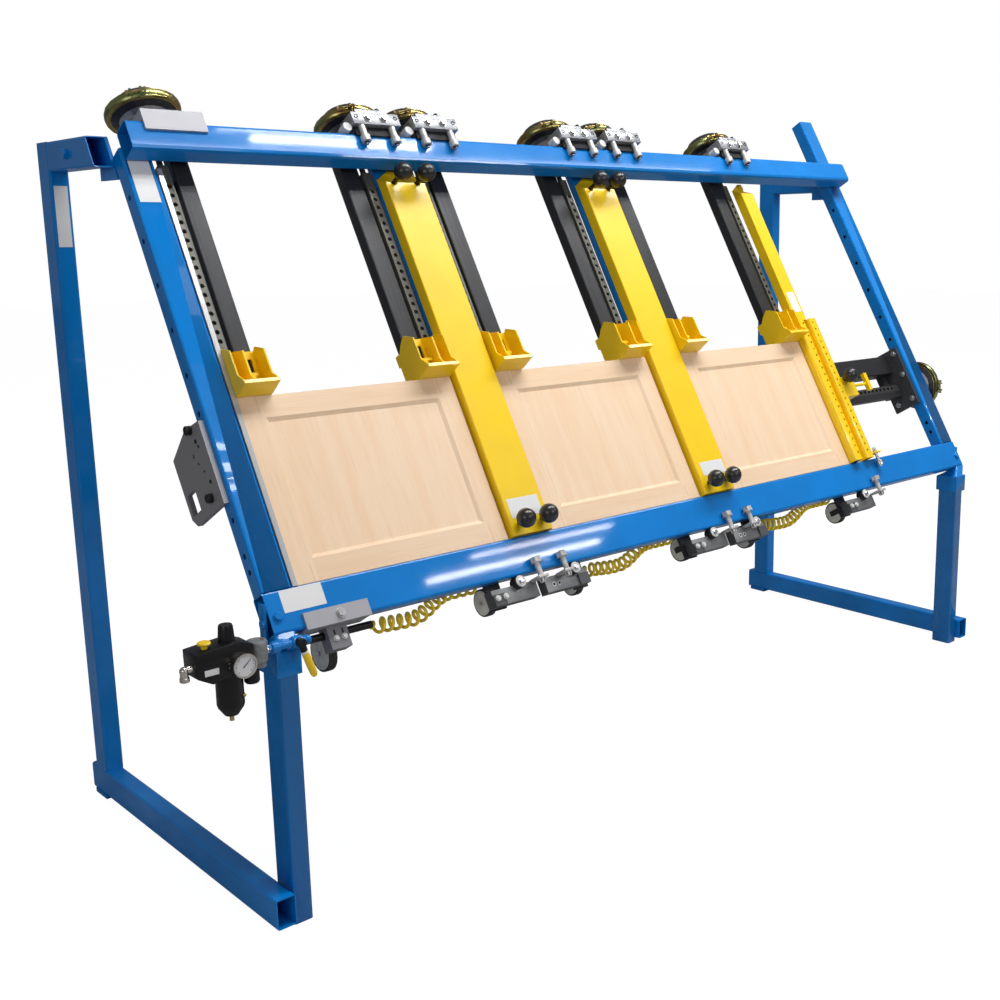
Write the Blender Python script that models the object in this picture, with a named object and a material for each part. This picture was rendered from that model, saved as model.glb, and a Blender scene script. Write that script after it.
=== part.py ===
"""Pneumatic clamp for cabinet doors: a tilted tube frame on two stands, with six air clamps that push
down, one that pushes sideways, and three doors held in it. Metres, +Z up, front towards -Y."""

import math

import bmesh
import bpy
from mathutils import Vector

# Driving sizes.
gap = 0.0003                 # left between pieces that touch
length = 3.0269              # over the base rails
depth = 1.0884               # of a stand
stand_height = 1.829         # top of the arms above the base rails' underside
foot_height = 0.012          # the posts' feet stand this far below the base rails
tube_wall = 0.0030
stand_tube_width = 0.0508
stand_tube_height = 0.0762
front_post_setback = 0.0151
rear_post_setback = 0.0294
tilt = math.radians(60)
frame_setback = 0.0185       # of the tilted frame's lower front edge
frame_height = 0.7024
frame_depth = 0.0508
bottom_rail_height = 0.1016
side_tube_width = 0.0762
left_tube_top = 1.2658       # up the slope, from the frame's lower edge
right_tube_top = 1.5377
top_rail_foot = 1.2262
top_rail_height = 0.0793
top_rail_depth = 0.0623
top_rail_left = 0.0567
top_rail_right_inset = 0.0689
collar_wall = 0.0060
collar_low = 0.6024
collar_height = 0.0600

# The working plane, on which beams, bars and doors lie, and the uprights welded up to it.
rest_plane = -0.0225
upright_half_width = 0.0660
upright_top = 1.3000
stop_left = 0.1300
stop_width = 0.0122
stop_depth = 0.0127

# Doors.
door_thickness = 0.0190
door_height = 0.4800
door_spans = ((0.1428, 0.7680), (0.9210, 1.5240), (1.6810, 2.3040))
door_frame_width = 0.0575
door_bevel = 0.0105
door_recess = 0.0060

# Vertical clamps. Each hand is +1 with the beam on the left, -1 with it on the right.
beam_width = 0.0565
fixed_beam_width = 0.0475
beam_depth = 0.0381
beam_foot = 0.1040
beam_top = 1.3220
beam_slot = 0.0105           # between beam and pusher bar
bar_size = 0.0254
bar_foot = 0.1300
bar_top = 1.2350
hole_pitch = 0.0254
hole_radius = 0.0068
hole_first = 0.6400
hole_count = 22
clamp_edges = {1: 0.2309, 2: 0.6715, 3: 1.0185, 4: 1.4145, 5: 1.7680, 6: 2.2080}
clamp_hands = {1: -1, 2: 1, 3: -1, 4: 1, 5: -1, 6: 1}
guide_heights = (0.2000, 1.1750)
guide_height = 0.0300
hanger_thickness = 0.0088
hanger_foot = -0.0680
mount_plate = 0.0120
mount_front = 0.0197
rod_radius = 0.0080
rod_bore = 0.0120
stroke = 0.0500

# Air chambers.
band_radius = 0.0930
band_height = 0.0200
neck_radius = 0.0480
bowl_radius = 0.0840
neck_height = 0.0440
bowl_height = 0.0180
cap_height = 0.0260
cap_radius = 0.0600

# Jaws.
jaw_clearance = 0.0008
jaw_cheek = 0.0040
jaw_plate = 0.0050
jaw_height = 0.1310
jaw_reach = 0.0600

# Hold-down bars, fence and knobs.
hold_bar_width = 0.1345
hold_bar_front = 0.0155
hold_bar_shoulder = 1.1800
hold_bar_back_shoulder = 1.2100
hold_bar_top = 1.2400
hold_bar_lefts = (0.7770, 1.5345)
end_bar_left = 2.3150
end_bar_width = 0.0660
tongue_chamfer = 0.0450
knob_radius = 0.0222
knob_spacing = 0.0790
stud_radius = 0.0060
fence_left = 2.3078
fence_tube = 0.0430
fence_slot = 0.0250
fence_front = 0.0283
fence_top = 0.6550

# Sideways clamp.
side_beam_low = 0.4340
side_beam_high = 0.5090
side_beam_front = -0.0640
side_beam_depth = 0.0508
side_plate = 0.0127
side_bar_low = 0.3596
side_bar_right = 2.9250
side_bar_left = 2.0000
side_hole_count = 14
side_chamber_left = 2.9850
side_neck_height = 0.0200

# Trolleys.
trolley_block_width = 0.1520
trolley_block_low = 1.3220
trolley_block_high = 1.3580
trolley_block_front = 0.0860
trolley_offsets = {2: 0.0145, 3: 0.0290, 4: 0.0325, 5: 0.0400, 6: 0.0030}
rail_roller_radius = 0.0130
face_roller_radius = 0.0125
face_roller_height = 0.0180
carriage_width = 0.1520
carriage_low = -0.0640
carriage_lefts = {2: 0.6660, 3: 0.8460, 4: 1.4320, 5: 1.6200, 6: 2.2230}
carriage_rollers = {2: 0.0906, 3: 0.1049, 4: 0.0906, 5: 0.1045, 6: 0.0952}
carriage_bolts = {2: 0.1495, 3: 0.0605, 4: 0.1560, 5: 0.0655, 6: 0.1620}
under_roller_radius = 0.0165

# The wheel behind each beam's tail: where it is along the rail and up the slope, and its radius.
tail_wheels = {1: (0.2150, -0.0470, 0.0460), 2: (0.7035, -0.0300, 0.0380),
               3: (1.0120, -0.0370, 0.0380), 4: (1.4700, -0.0240, 0.0380),
               5: (1.7650, -0.0370, 0.0380), 6: (2.2600, -0.0370, 0.0380)}
tail_wheel_width = 0.0200
tail_wheel_gap = 0.0110      # between the beam's back plane and the wheel

# Air supply.
hose_radius = 0.0160
hose_up = -0.0185
hose_out = -0.0550
hose_sag_at = 0.42           # of the way along, the hose is lowest
hose_sag = -0.0260
hose_sag_out = -0.0620
hose_end_up = 0.0120
hose_end_out = -0.0740
pipe_radius = 0.0090
pipe_up = -0.0215
pipe_out = -0.0450
pipe_end = 0.3180

frame_left = stand_tube_width + gap
frame_right = length - frame_left
inner_left = frame_left + side_tube_width
inner_right = frame_right - side_tube_width
rail_top = bottom_rail_height + gap
door_back = rest_plane + gap
door_front = door_back + door_thickness
beam_back = rest_plane - beam_depth
beam_axis = rest_plane - bar_size / 2
hanger_front = beam_back + hanger_thickness
upper_rail_top = top_rail_foot + top_rail_height
colours = {
    "blue_paint": ((0.0, 0.27, 0.90), 0.35, 0.0),
    "yellow_paint": ((1.0, 0.68, 0.0), 0.35, 0.0),
    "black_paint": ((0.03, 0.03, 0.034), 0.40, 0.0),
    "bare_steel": ((0.30, 0.30, 0.30), 0.40, 1.0),
    "aluminium": ((0.60, 0.60, 0.62), 0.35, 1.0),
    "grey_paint": ((0.42, 0.42, 0.46), 0.45, 0.0),
    "zinc_yellow": ((0.55, 0.45, 0.16), 0.30, 1.0),
    "black_plastic": ((0.02, 0.02, 0.022), 0.30, 0.0),
    "yellow_hose": ((0.70, 0.55, 0.0), 0.40, 0.0),
    "maple": ((0.90, 0.70, 0.46), 0.50, 0.0),
}


def material(name):
    """The named material, made on first use."""
    found = bpy.data.materials.get(name)
    if found:
        return found
    found = bpy.data.materials.new(name)
    found.use_nodes = True
    colour, roughness, metallic = colours[name]
    shader = found.node_tree.nodes["Principled BSDF"]
    shader.inputs["Base Color"].default_value = (*colour, 1)
    shader.inputs["Roughness"].default_value = roughness
    shader.inputs["Metallic"].default_value = metallic
    found.diffuse_color = (*colour, 1)
    return found


def empty(name, parent, place=(0, 0, 0), turn=(0, 0, 0)):
    made = bpy.data.objects.new(name, None)
    made.empty_display_size = 0.05
    made.parent = parent
    made.location = place
    made.rotation_euler = turn
    bpy.context.scene.collection.objects.link(made)
    return made


def shape(mesh_edit):
    """An object made from a bmesh, with its faces turned outwards."""
    bmesh.ops.recalc_face_normals(mesh_edit, faces=mesh_edit.faces)
    mesh = bpy.data.meshes.new("shape")
    mesh_edit.to_mesh(mesh)
    mesh_edit.free()
    made = bpy.data.objects.new("shape", mesh)
    bpy.context.scene.collection.objects.link(made)
    return made


def prism(outline, axis, low, high):
    """An outline in the two other axes, in cyclic order after the given one, extruded along it."""
    mesh_edit = bmesh.new()
    points = []
    for first, second in outline:
        point = [0.0, 0.0, 0.0]
        point[axis] = low
        point[(axis + 1) % 3] = first
        point[(axis + 2) % 3] = second
        points.append(mesh_edit.verts.new(point))
    face = mesh_edit.faces.new(points)
    made = bmesh.ops.extrude_face_region(mesh_edit, geom=[face])
    shift = [0.0, 0.0, 0.0]
    shift[axis] = high - low
    moved = [item for item in made["geom"] if isinstance(item, bmesh.types.BMVert)]
    bmesh.ops.translate(mesh_edit, verts=moved, vec=shift)
    return shape(mesh_edit)


def box(x, y, z):
    x, y, z = sorted(x), sorted(y), sorted(z)
    outline = [(y[0], z[0]), (y[1], z[0]), (y[1], z[1]), (y[0], z[1])]
    return prism(outline, 0, x[0], x[1])


def rounded(first, second, radius, steps=2):
    """A rectangle's outline with round corners."""
    corners = ((first[1], second[1], 1, 1), (first[0], second[1], -1, 1),
               (first[0], second[0], -1, -1), (first[1], second[0], 1, -1))
    points = []
    for turn, (a, b, side_a, side_b) in enumerate(corners):
        for step in range(steps + 1):
            angle = math.radians(90) * (turn + step / steps)
            points.append((a - side_a * radius + radius * math.cos(angle),
                           b - side_b * radius + radius * math.sin(angle)))
    return points


def tube(axis, low, high, first, second, radius=0.006, wall=tube_wall):
    """A hollow rectangular tube, open at both ends: its body and its cutter."""
    inner_first = (first[0] + wall, first[1] - wall)
    inner_second = (second[0] + wall, second[1] - wall)
    body = prism(rounded(first, second, radius), axis, low, high)
    hollow = box_along(axis, (low - wall, high + wall), inner_first, inner_second)
    return body, hollow


def box_along(axis, along, first, second):
    spans = [None, None, None]
    spans[axis] = along
    spans[(axis + 1) % 3] = first
    spans[(axis + 2) % 3] = second
    return box(*spans)


def rod(start, end, radius, sides=12, end_radius=None):
    """A cylinder or a cone between two points."""
    start, end = Vector(start), Vector(end)
    line = end - start
    mesh_edit = bmesh.new()
    bmesh.ops.create_cone(
        mesh_edit, cap_ends=True, segments=sides, radius1=radius,
        radius2=radius if end_radius is None else end_radius, depth=line.length)
    turn = line.to_track_quat("Z", "Y").to_matrix()
    bmesh.ops.rotate(mesh_edit, verts=mesh_edit.verts, matrix=turn)
    bmesh.ops.translate(mesh_edit, verts=mesh_edit.verts, vec=(start + end) / 2)
    return shape(mesh_edit)


def ball(centre, radius):
    mesh_edit = bmesh.new()
    bmesh.ops.create_uvsphere(mesh_edit, u_segments=12, v_segments=7, radius=radius)
    bmesh.ops.translate(mesh_edit, verts=mesh_edit.verts, vec=centre)
    return shape(mesh_edit)


def gather(name, members):
    group = bpy.data.collections.new(name)
    for member in members:
        group.objects.link(member)
    return group


def solid(name, parent, finish, pieces, cuts=(), added=(), smooth=False):
    """One closed body: the pieces joined, the cuts taken away, and the added pieces joined to that."""
    base = pieces[0]
    groups = []
    steps = (("UNION", pieces[1:]), ("DIFFERENCE", cuts), ("UNION", added))
    for operation, members in steps:
        if not members:
            continue
        group = gather(name + operation, members)
        groups.append(group)
        step = base.modifiers.new(operation.title(), "BOOLEAN")
        step.operation = operation
        step.operand_type = "COLLECTION"
        step.collection = group
        step.solver = "EXACT"
    graph = bpy.context.evaluated_depsgraph_get()
    mesh = bpy.data.meshes.new_from_object(base.evaluated_get(graph))
    for helper in (*pieces, *cuts, *added):
        bpy.data.objects.remove(helper)
    for group in groups:
        bpy.data.collections.remove(group)
    mesh.name = name
    mesh.materials.clear()
    mesh.materials.append(material(finish))
    made = bpy.data.objects.new(name, mesh)
    bpy.context.scene.collection.objects.link(made)
    made.parent = parent
    if smooth:
        mesh.shade_smooth()
        mesh.set_sharp_from_angle(angle=math.radians(35))
    return made


def mirrored(x, side):
    """X on the left stand as it is, or its mirror image on the right stand."""
    return x if side == "left" else length - x


def across(side, *xs):
    return tuple(sorted(mirrored(x, side) for x in xs))


def tilted_point(up, out):
    """Y and Z of a point on the tilted frame, up its slope and out from its front face."""
    return (frame_setback + up * math.cos(tilt) - out * math.sin(tilt),
            frame_height + up * math.sin(tilt) + out * math.cos(tilt))


def base_rail(assembly, side):
    base_x = across(side, 0, stand_tube_width)
    body, hollow = tube(1, 0, depth, (0, stand_tube_height), base_x)
    pad = box(base_x, (depth - 0.012 - stand_tube_height, depth - 0.012), (-foot_height, 0.001))
    solid(side + "_base_rail", assembly, "blue_paint", [body, pad], [hollow], smooth=True)


def front_post(assembly, side):
    """The post under the tilted bottom rail, cut parallel to it, with a collar and a bolted ear."""
    inner = stand_tube_width + gap
    post_x = across(side, inner, inner + stand_tube_width)
    post_y = (front_post_setback, front_post_setback + stand_tube_height)
    body, hollow = tube(2, -foot_height, frame_height + 0.05, post_x, post_y)
    collar_y = (post_y[0] - collar_wall, post_y[1] + collar_wall)
    collar_x = across(side, inner - 0.001, inner + stand_tube_width + collar_wall)
    collar = box(collar_x, collar_y, (collar_low, collar_low + collar_height))
    ear = box(across(side, inner - collar_wall, inner - gap), (collar_y[0], collar_y[1] - 0.02),
              (collar_low, frame_height + 0.065))
    web = box(across(side, inner - collar_wall, inner + 0.001), collar_y,
              (collar_low, collar_low + collar_height))
    rod_y, rod_z = tilted_point(0.036, -frame_depth / 2)
    bolt = rod((mirrored(inner - collar_wall + 0.001, side), rod_y, rod_z),
               (mirrored(inner - 2 * collar_wall, side), rod_y, rod_z), 0.011, 6)
    low, high = tilted_point(-gap, 0.1), tilted_point(-gap, -0.3)
    outline = [low, high, (high[0], low[1] + 0.1), (low[0], low[1] + 0.1)]
    trim = prism(outline, 0, *across(side, inner, 3 * stand_tube_width))
    solid(side + "_front_post", assembly, "blue_paint", [body, collar, web], [hollow, trim],
          [ear, bolt], smooth=True)


def rear_post(assembly, side):
    """The rear post, with an arm at its top that runs forward to the back of the tilted frame."""
    base_x = across(side, 0, stand_tube_width)
    post_y = (depth - rear_post_setback - stand_tube_height, depth - rear_post_setback)
    arm_z = (stand_height - stand_tube_height, stand_height)
    body = prism(rounded(base_x, post_y, 0.006), 2, stand_tube_height + gap, stand_height)
    hollow = box((base_x[0] + tube_wall, base_x[1] - tube_wall),
                 (post_y[0] + tube_wall, post_y[1] - tube_wall), (0, arm_z[0] + tube_wall))
    front_y = tilted_point(1.15, -frame_depth)[0]
    arm, arm_hollow = tube(1, front_y, post_y[0] + tube_wall / 2, arm_z, base_x)
    plate = box(across(side, stand_tube_width - 0.001, stand_tube_width + collar_wall),
                (front_y, tilted_point(1.42, -frame_depth)[0]), (arm_z[0] - 0.030, stand_height))
    near, far = tilted_point(0.9, -frame_depth - gap), tilted_point(1.7, -frame_depth - gap)
    outline = [near, far, (far[0] - 1, far[1]), (near[0] - 1, near[1])]
    trim = prism(outline, 0, base_x[0] - 0.1, base_x[1] + 0.1)
    boss_y = post_y[0] - 0.13
    boss_z = (arm_z[0] + arm_z[1]) / 2
    boss = rod((mirrored(0.001, side), boss_y, boss_z), (mirrored(-0.010, side), boss_y, boss_z),
               0.012, 8)
    solid(side + "_rear_post", assembly, "blue_paint", [body, arm, plate],
          [hollow, arm_hollow, trim], [boss], smooth=True)


def lower_frame(tilted):
    """The bottom rail, with the two uprights welded on top of it, which carry the hold-down bars."""
    rail, hollow = tube(0, frame_left, frame_right, (0, bottom_rail_height), (-frame_depth, 0))
    pieces, cuts = [rail], [hollow]
    for left in hold_bar_lefts:
        centre = left + hold_bar_width / 2
        span = (centre - upright_half_width, centre + upright_half_width)
        foot = bottom_rail_height - tube_wall / 2
        outline = rounded(span, (-frame_depth, rest_plane), 0.006)
        upright = prism([(out, x) for x, out in outline], 1, foot, upright_top)
        inside = box((span[0] + tube_wall, span[1] - tube_wall),
                     (bottom_rail_height + 0.002, upright_top + tube_wall),
                     (-frame_depth + tube_wall, rest_plane - tube_wall))
        spacer = box((centre - 0.03, centre + 0.03), (1.2460, 1.2900), (rest_plane - 0.001, 0))
        pieces += [upright, spacer]
        cuts.append(inside)
    solid("bottom_rail", tilted, "blue_paint", pieces, cuts, smooth=True)


def side_tubes(tilted):
    spans = {"left": (frame_left, inner_left, left_tube_top),
             "right": (inner_right, frame_right, right_tube_top)}
    for side, (low, high, top) in spans.items():
        body, hollow = tube(1, rail_top, top, (-frame_depth, 0), (low, high))
        added = []
        if side == "left":
            stop = (stop_left, stop_left + stop_width)
            added.append(box(stop, (rail_top, hold_bar_back_shoulder), (-stop_depth, 0)))
            for up in (0.30, 0.65, 1.00):
                added.append(box((high - tube_wall, stop[0] + 0.001), (up, up + 0.03), (-0.012, -0.006)))
        solid(side + "_side_tube", tilted, "blue_paint", [body], [hollow], added, smooth=True)


def top_rail(tilted):
    right = length - top_rail_right_inset
    up = (top_rail_foot, upper_rail_top)
    out = (gap, gap + top_rail_depth)
    body, hollow = tube(0, top_rail_left, right, up, out, 0.010)
    solid("top_rail", tilted, "blue_paint", [body], [hollow], smooth=True)


def doors(tilted):
    """Frame-and-panel doors: the frame's inner edges slope down to the panel."""
    low_up = rail_top
    high_up = rail_top + door_height
    for number, (left, right) in enumerate(door_spans, 1):
        body = box((left, right), (low_up, high_up), (door_back, door_front))
        corners = []
        for inset, out in ((door_frame_width - door_bevel, door_front + door_recess),
                           (door_frame_width + door_bevel, door_front - door_recess)):
            for x in (left + inset, right - inset):
                for up in (low_up + inset, high_up - inset):
                    corners.append((x, up, out))
        solid(f"door_{number}", tilted, "maple", [body], [hull(corners)])


def hull(points):
    """The smallest convex solid round the points."""
    mesh_edit = bmesh.new()
    for point in points:
        mesh_edit.verts.new(point)
    bmesh.ops.convex_hull(mesh_edit, input=mesh_edit.verts)
    return shape(mesh_edit)


def chamber_pieces(axis, centre, low, neck):
    """An air chamber: neck, bowl, clamp band and cap, stacked along an axis, with its rod's bore."""
    def ring(start, end, radius, end_radius=None, sides=20):
        first, second = list(centre), list(centre)
        first[axis] = low + start
        second[axis] = low + end
        return rod(first, second, radius, sides, end_radius)

    band = neck + bowl_height
    cap = band + band_height
    top = cap + cap_height
    lap = 0.0005
    pieces = [ring(band, cap, band_radius),
              ring(0, neck + lap, neck_radius),
              ring(neck, band + lap, neck_radius, bowl_radius),
              ring(cap - lap, top, bowl_radius, cap_radius),
              ring(top - lap, top + 0.010, 0.010, None, 8)]
    return pieces, [ring(-lap, stroke + 0.025, rod_bore, None, 10)]


class Clamp:
    """One vertical clamp. Places across it are measured from the beam's outer edge, towards its bar."""

    def __init__(self, number, tilted):
        self.number = number
        self.hand = clamp_hands[number]
        self.edge = clamp_edges[number]
        self.width = fixed_beam_width if number == 1 else beam_width
        self.bar_near = self.width + beam_slot
        self.bar_far = self.bar_near + bar_size
        self.bar_centre = self.bar_near + bar_size / 2
        self.base = empty(f"clamp_{number}", tilted)
        self.pusher = empty(f"pusher_{number}", self.base)
        self.jaw_slide = empty(f"jaw_slide_{number}", self.pusher)

    def x(self, *places):
        return tuple(sorted(self.edge + self.hand * place for place in places))

    def at(self, place):
        return self.edge + self.hand * place

    def name(self, piece):
        return f"{piece}_{self.number}"


def clamp_beam(clamp):
    """The beam, its mount plate for the air chamber, the bar's guides and the tail behind the rail."""
    lap = tube_wall / 2
    body, hollow = tube(1, beam_foot, beam_top - mount_plate + lap, (beam_back, rest_plane),
                        clamp.x(0, clamp.width), 0.004)
    top = box(clamp.x(-0.004, clamp.bar_far + 0.028), (beam_top - mount_plate, beam_top),
              (beam_back - 0.024, mount_front))
    pieces = [body, top]
    for height in guide_heights:
        pieces.append(box(clamp.x(clamp.width - lap, clamp.bar_far), (height, height + guide_height),
                          (beam_back + 0.001, rest_plane - bar_size - gap)))
    foot = hanger_foot if clamp.number > 1 else -0.0063
    pieces.append(box(clamp.x(0.004, clamp.width - 0.004), (foot, beam_foot + 0.03),
                      (beam_back, hanger_front)))
    pieces += tail_wheel(clamp)
    centre = clamp.at(clamp.bar_centre)
    bore = rod((centre, beam_top + gap, beam_axis), (centre, beam_top - 2 * mount_plate, beam_axis),
               rod_bore, 10)
    cuts = [hollow, bore]
    if clamp.number == 1:
        pieces += fixed_mounts()
        cuts.append(rod((0.1700, pipe_up, pipe_out), (0.2500, pipe_up, pipe_out), pipe_radius + 0.002, 10))
    solid(clamp.name("clamp_beam"), clamp.base, "black_paint", pieces, cuts, smooth=True)


def fixed_mounts():
    """What holds the fixed clamp: an angle over the top rail and a bracket round the bottom rail."""
    face = gap + top_rail_depth + gap
    plate = 0.0065
    lap = 0.0005
    clip_x = (0.1000, 0.2600)
    bracket_x = (0.1290, 0.3000)
    return [box(clip_x, (1.2770, 1.3340), (face, face + plate)),
            box(clip_x, (upper_rail_top + gap, 1.3340), (0.0180, face + lap)),
            box(bracket_x, (-gap - plate, 0.0340), (gap, gap + plate)),
            box(bracket_x, (-gap - plate, -gap), (beam_back, gap + lap)),
            box((0.1870, 0.2400), (-0.0625, -gap - plate + lap), (-0.0590, -0.0195)),
            rod((0.2220, 0.0140, gap), (0.2220, 0.0140, 0.0150), 0.0100, 6)]


def tail_wheel(clamp):
    """The wheel behind the beam's tail, on a short arm and axle."""
    x, up, radius = tail_wheels[clamp.number]
    side = 1 if clamp.number < 3 else -1
    out = beam_back - tail_wheel_gap - radius
    half = tail_wheel_width / 2
    arm = (x + side * (half + 0.002), x + side * (half + 0.010))
    return [rod((x - half, up, out), (x + half, up, out), radius, 20),
            rod((x, up, out), (arm[1], up, out), 0.008, 8),
            box(arm, (up - 0.009, up + 0.009), (out - 0.009, hanger_front - 0.001))]


def pusher_bar(clamp):
    body = box(clamp.x(clamp.bar_near, clamp.bar_far), (bar_foot, bar_top),
               (rest_plane - bar_size, rest_plane))
    centre = clamp.at(clamp.bar_centre)
    plunger = rod((centre, bar_top - 0.001, beam_axis), (centre, beam_top + 0.012, beam_axis),
                  rod_radius, 8)
    holes = []
    for index in range(hole_count):
        up = hole_first + index * hole_pitch
        holes.append(rod((centre, up, rest_plane - bar_size - 0.01), (centre, up, rest_plane + 0.01),
                         hole_radius, 6))
    solid(clamp.name("pusher_bar"), clamp.pusher, "bare_steel", [body, plunger], holes)


def jaw(clamp):
    """A jaw that straddles beam and bar, locks into the bar's holes and presses on a door's top edge."""
    foot = rail_top + door_height + gap
    near = -jaw_clearance - jaw_cheek
    far = clamp.bar_far - near
    front = rest_plane + jaw_clearance
    back = beam_back - jaw_clearance
    outline = [(foot, back), (foot, 0.008), (foot + 0.0095, jaw_reach), (foot + 0.021, jaw_reach - 0.004),
               (foot + 0.041, 0.037), (foot + 0.107, 0.035), (foot + jaw_height, -0.004),
               (foot + 0.116, -0.029), (foot + 0.098, -0.046), (foot + 0.098, back - 0.008),
               (foot + 0.066, back - 0.008), (foot + 0.062, back)]
    lap = jaw_cheek / 2
    span = clamp.x(near + lap, far - lap)
    shoe = [(foot, front), (foot, 0.008), (foot + 0.0095, jaw_reach), (foot + 0.019, jaw_reach - 0.002),
            (foot + 0.014, front)]
    rib = [(foot + 0.008, front + 0.002), (foot + 0.012, 0.050), (foot + 0.041, 0.034),
           (foot + 0.107, 0.032), (foot + jaw_height - 0.003, front + 0.002)]
    pieces = [prism(outline, 0, *clamp.x(near, near + jaw_cheek)),
              prism(outline, 0, *clamp.x(far - jaw_cheek, far)),
              box(span, (foot + 0.010, foot + jaw_height - 0.006), (front, front + jaw_plate)),
              box(span, (foot + 0.066, foot + 0.098), (back - 0.008, back)),
              prism(shoe, 0, *span),
              prism(rib, 0, *clamp.x(clamp.width + 0.001, clamp.width + 0.006))]
    window = box(clamp.x(0.010, clamp.width - 0.006), (foot + 0.034, foot + 0.104),
                 (front - 0.01, front + 0.012))
    slot = box(clamp.x(clamp.bar_near + 0.005, clamp.bar_far - 0.008), (foot + 0.064, foot + 0.104),
               (front - 0.01, front + 0.012))
    latch = [box(clamp.x(0.020, clamp.width - 0.006 + lap), (foot + 0.048, foot + 0.056),
                 (front, 0.010)),
             box(clamp.x(0.026, 0.036), (foot + 0.012, foot + 0.050), (0.004, 0.010))]
    solid(clamp.name("jaw"), clamp.jaw_slide, "yellow_paint", pieces, [window, slot], latch)


def air_chamber(clamp):
    centre = (clamp.at(clamp.bar_centre), 0, beam_axis)
    pieces, bores = chamber_pieces(1, centre, beam_top + gap, neck_height)
    solid(clamp.name("air_chamber"), clamp.base, "zinc_yellow", pieces, bores, smooth=True)


def top_trolley(clamp):
    """The block above the top rail, with its roller on the rail's top and two on the rail's face."""
    centre = clamp.at(clamp.bar_centre) + trolley_offsets[clamp.number]
    left = centre - trolley_block_width / 2
    right = left + trolley_block_width
    face = gap + top_rail_depth
    back = mount_front + gap
    lap = 0.001
    low = trolley_block_low
    pieces = [box((left, right), (low, trolley_block_high), (back, trolley_block_front)),
              box((left + 0.008, right - 0.008), (upper_rail_top + 0.003, low + lap), (back, face - 0.002)),
              box((left + 0.008, right - 0.008), (upper_rail_top - 0.010, low + lap),
                  (face + 0.001, face + 0.007)),
              box((left + 0.020, right - 0.045), (trolley_block_high - lap, trolley_block_high + 0.014),
                  (0.0660, 0.0800))]
    roller_up = upper_rail_top + gap + rail_roller_radius
    roller_x = left - 0.015
    pieces.append(rod((roller_x, roller_up, 0.020), (roller_x, roller_up, 0.0720), rail_roller_radius, 14))
    pieces.append(box((roller_x, left + 0.010), (roller_up - 0.004, roller_up + 0.010), (0.024, 0.040)))
    axle_out = face + gap + face_roller_radius
    for place in (centre - 0.049, centre + 0.049):
        pieces.append(rod((place, 1.262, axle_out), (place, low + lap, axle_out), 0.0055, 8))
        pieces.append(rod((place, 1.270, axle_out), (place, 1.270 + face_roller_height, axle_out),
                          face_roller_radius, 14))
    solid(clamp.name("top_trolley"), clamp.base, "aluminium", pieces, smooth=True)


def bottom_trolley(clamp):
    """The carriage under the bottom rail: a block, a roller under the rail and a bolt before it."""
    lap = 0.001
    left = carriage_lefts[clamp.number]
    right = left + carriage_width
    face = -0.0195
    end = (left, left + 0.037) if clamp.hand > 0 else (right - 0.037, right)
    pieces = [box((left, right), (carriage_low, -0.0200), (hanger_front + gap, face)),
              box(end, (carriage_low, -0.0330), (face - lap, face + 0.006))]
    roller_x = left + carriage_rollers[clamp.number]
    roller_up = -gap - under_roller_radius
    pieces.append(rod((roller_x, roller_up, -0.0300), (roller_x, roller_up, 0.0000),
                      under_roller_radius, 14))
    bolt_x = left + carriage_bolts[clamp.number]
    axle_out = gap + 0.0145
    tab_x = (bolt_x - 0.016, bolt_x + 0.016)
    pieces.append(box(tab_x, (-0.0250, -0.0180), (face - lap, axle_out + 0.012)))
    pieces.append(rod((bolt_x, -0.0380, axle_out), (bolt_x, 0.0360, axle_out), 0.0055, 8))
    pieces.append(rod((bolt_x, 0.0180, axle_out), (bolt_x, 0.0330, axle_out), 0.0140, 12))
    pieces.append(rod((bolt_x, -0.0350, axle_out), (bolt_x, -0.0240, axle_out), 0.0100, 6))
    solid(clamp.name("bottom_trolley"), clamp.base, "aluminium", pieces, smooth=True)


def knob(x, up, out, from_out):
    stud = rod((x, up, from_out), (x, up, out - knob_radius / 2), stud_radius, 8)
    return [stud, ball((x, up, out), knob_radius)]


def hold_bar(parent, name, left, width, foot, knobs):
    """A yellow bar: a tube whose back wall stands up past its slanted top, with ball knobs on studs."""
    back = rest_plane + gap
    front = hold_bar_front
    right = left + width
    lap = tube_wall / 2
    body, hollow = tube(1, foot, hold_bar_back_shoulder + lap, (back, front), (left, right), 0.003)
    tongue_out = back + tube_wall
    slant = [(hold_bar_shoulder, front + lap), (hold_bar_back_shoulder, tongue_out),
             (hold_bar_top + 0.02, tongue_out), (hold_bar_top + 0.02, front + lap)]
    corner = min(tongue_chamfer, width - 0.020)
    tongue_foot = hold_bar_back_shoulder - lap
    tongue = prism([(left, tongue_foot), (right, tongue_foot), (right, hold_bar_top),
                    (left + corner, hold_bar_top), (left, hold_bar_back_shoulder)], 2, back, tongue_out)
    cuts = [hollow, prism(slant, 0, left - 0.001, right + 0.001)]
    added = [tongue]
    if knobs:
        centre = (left + right) / 2
        for side in (-1, 1):
            x = centre + side * knob_spacing / 2
            added += knob(x, 0.1355, 0.0530, front - lap)
            added += knob(x, 1.1820, 0.0710, tongue_out - lap)
            cuts.append(rod((x, 1.1820, front - 0.010), (x, 1.1820, front + 0.010), 0.0110, 8))
    else:
        plug_x = right - 0.0150
        added.append(rod((plug_x, 1.2220, tongue_out - lap), (plug_x, 1.2220, tongue_out + 0.006),
                         0.0110, 8))
    solid(name, parent, "yellow_paint", [body], cuts, added, smooth=True)


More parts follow.
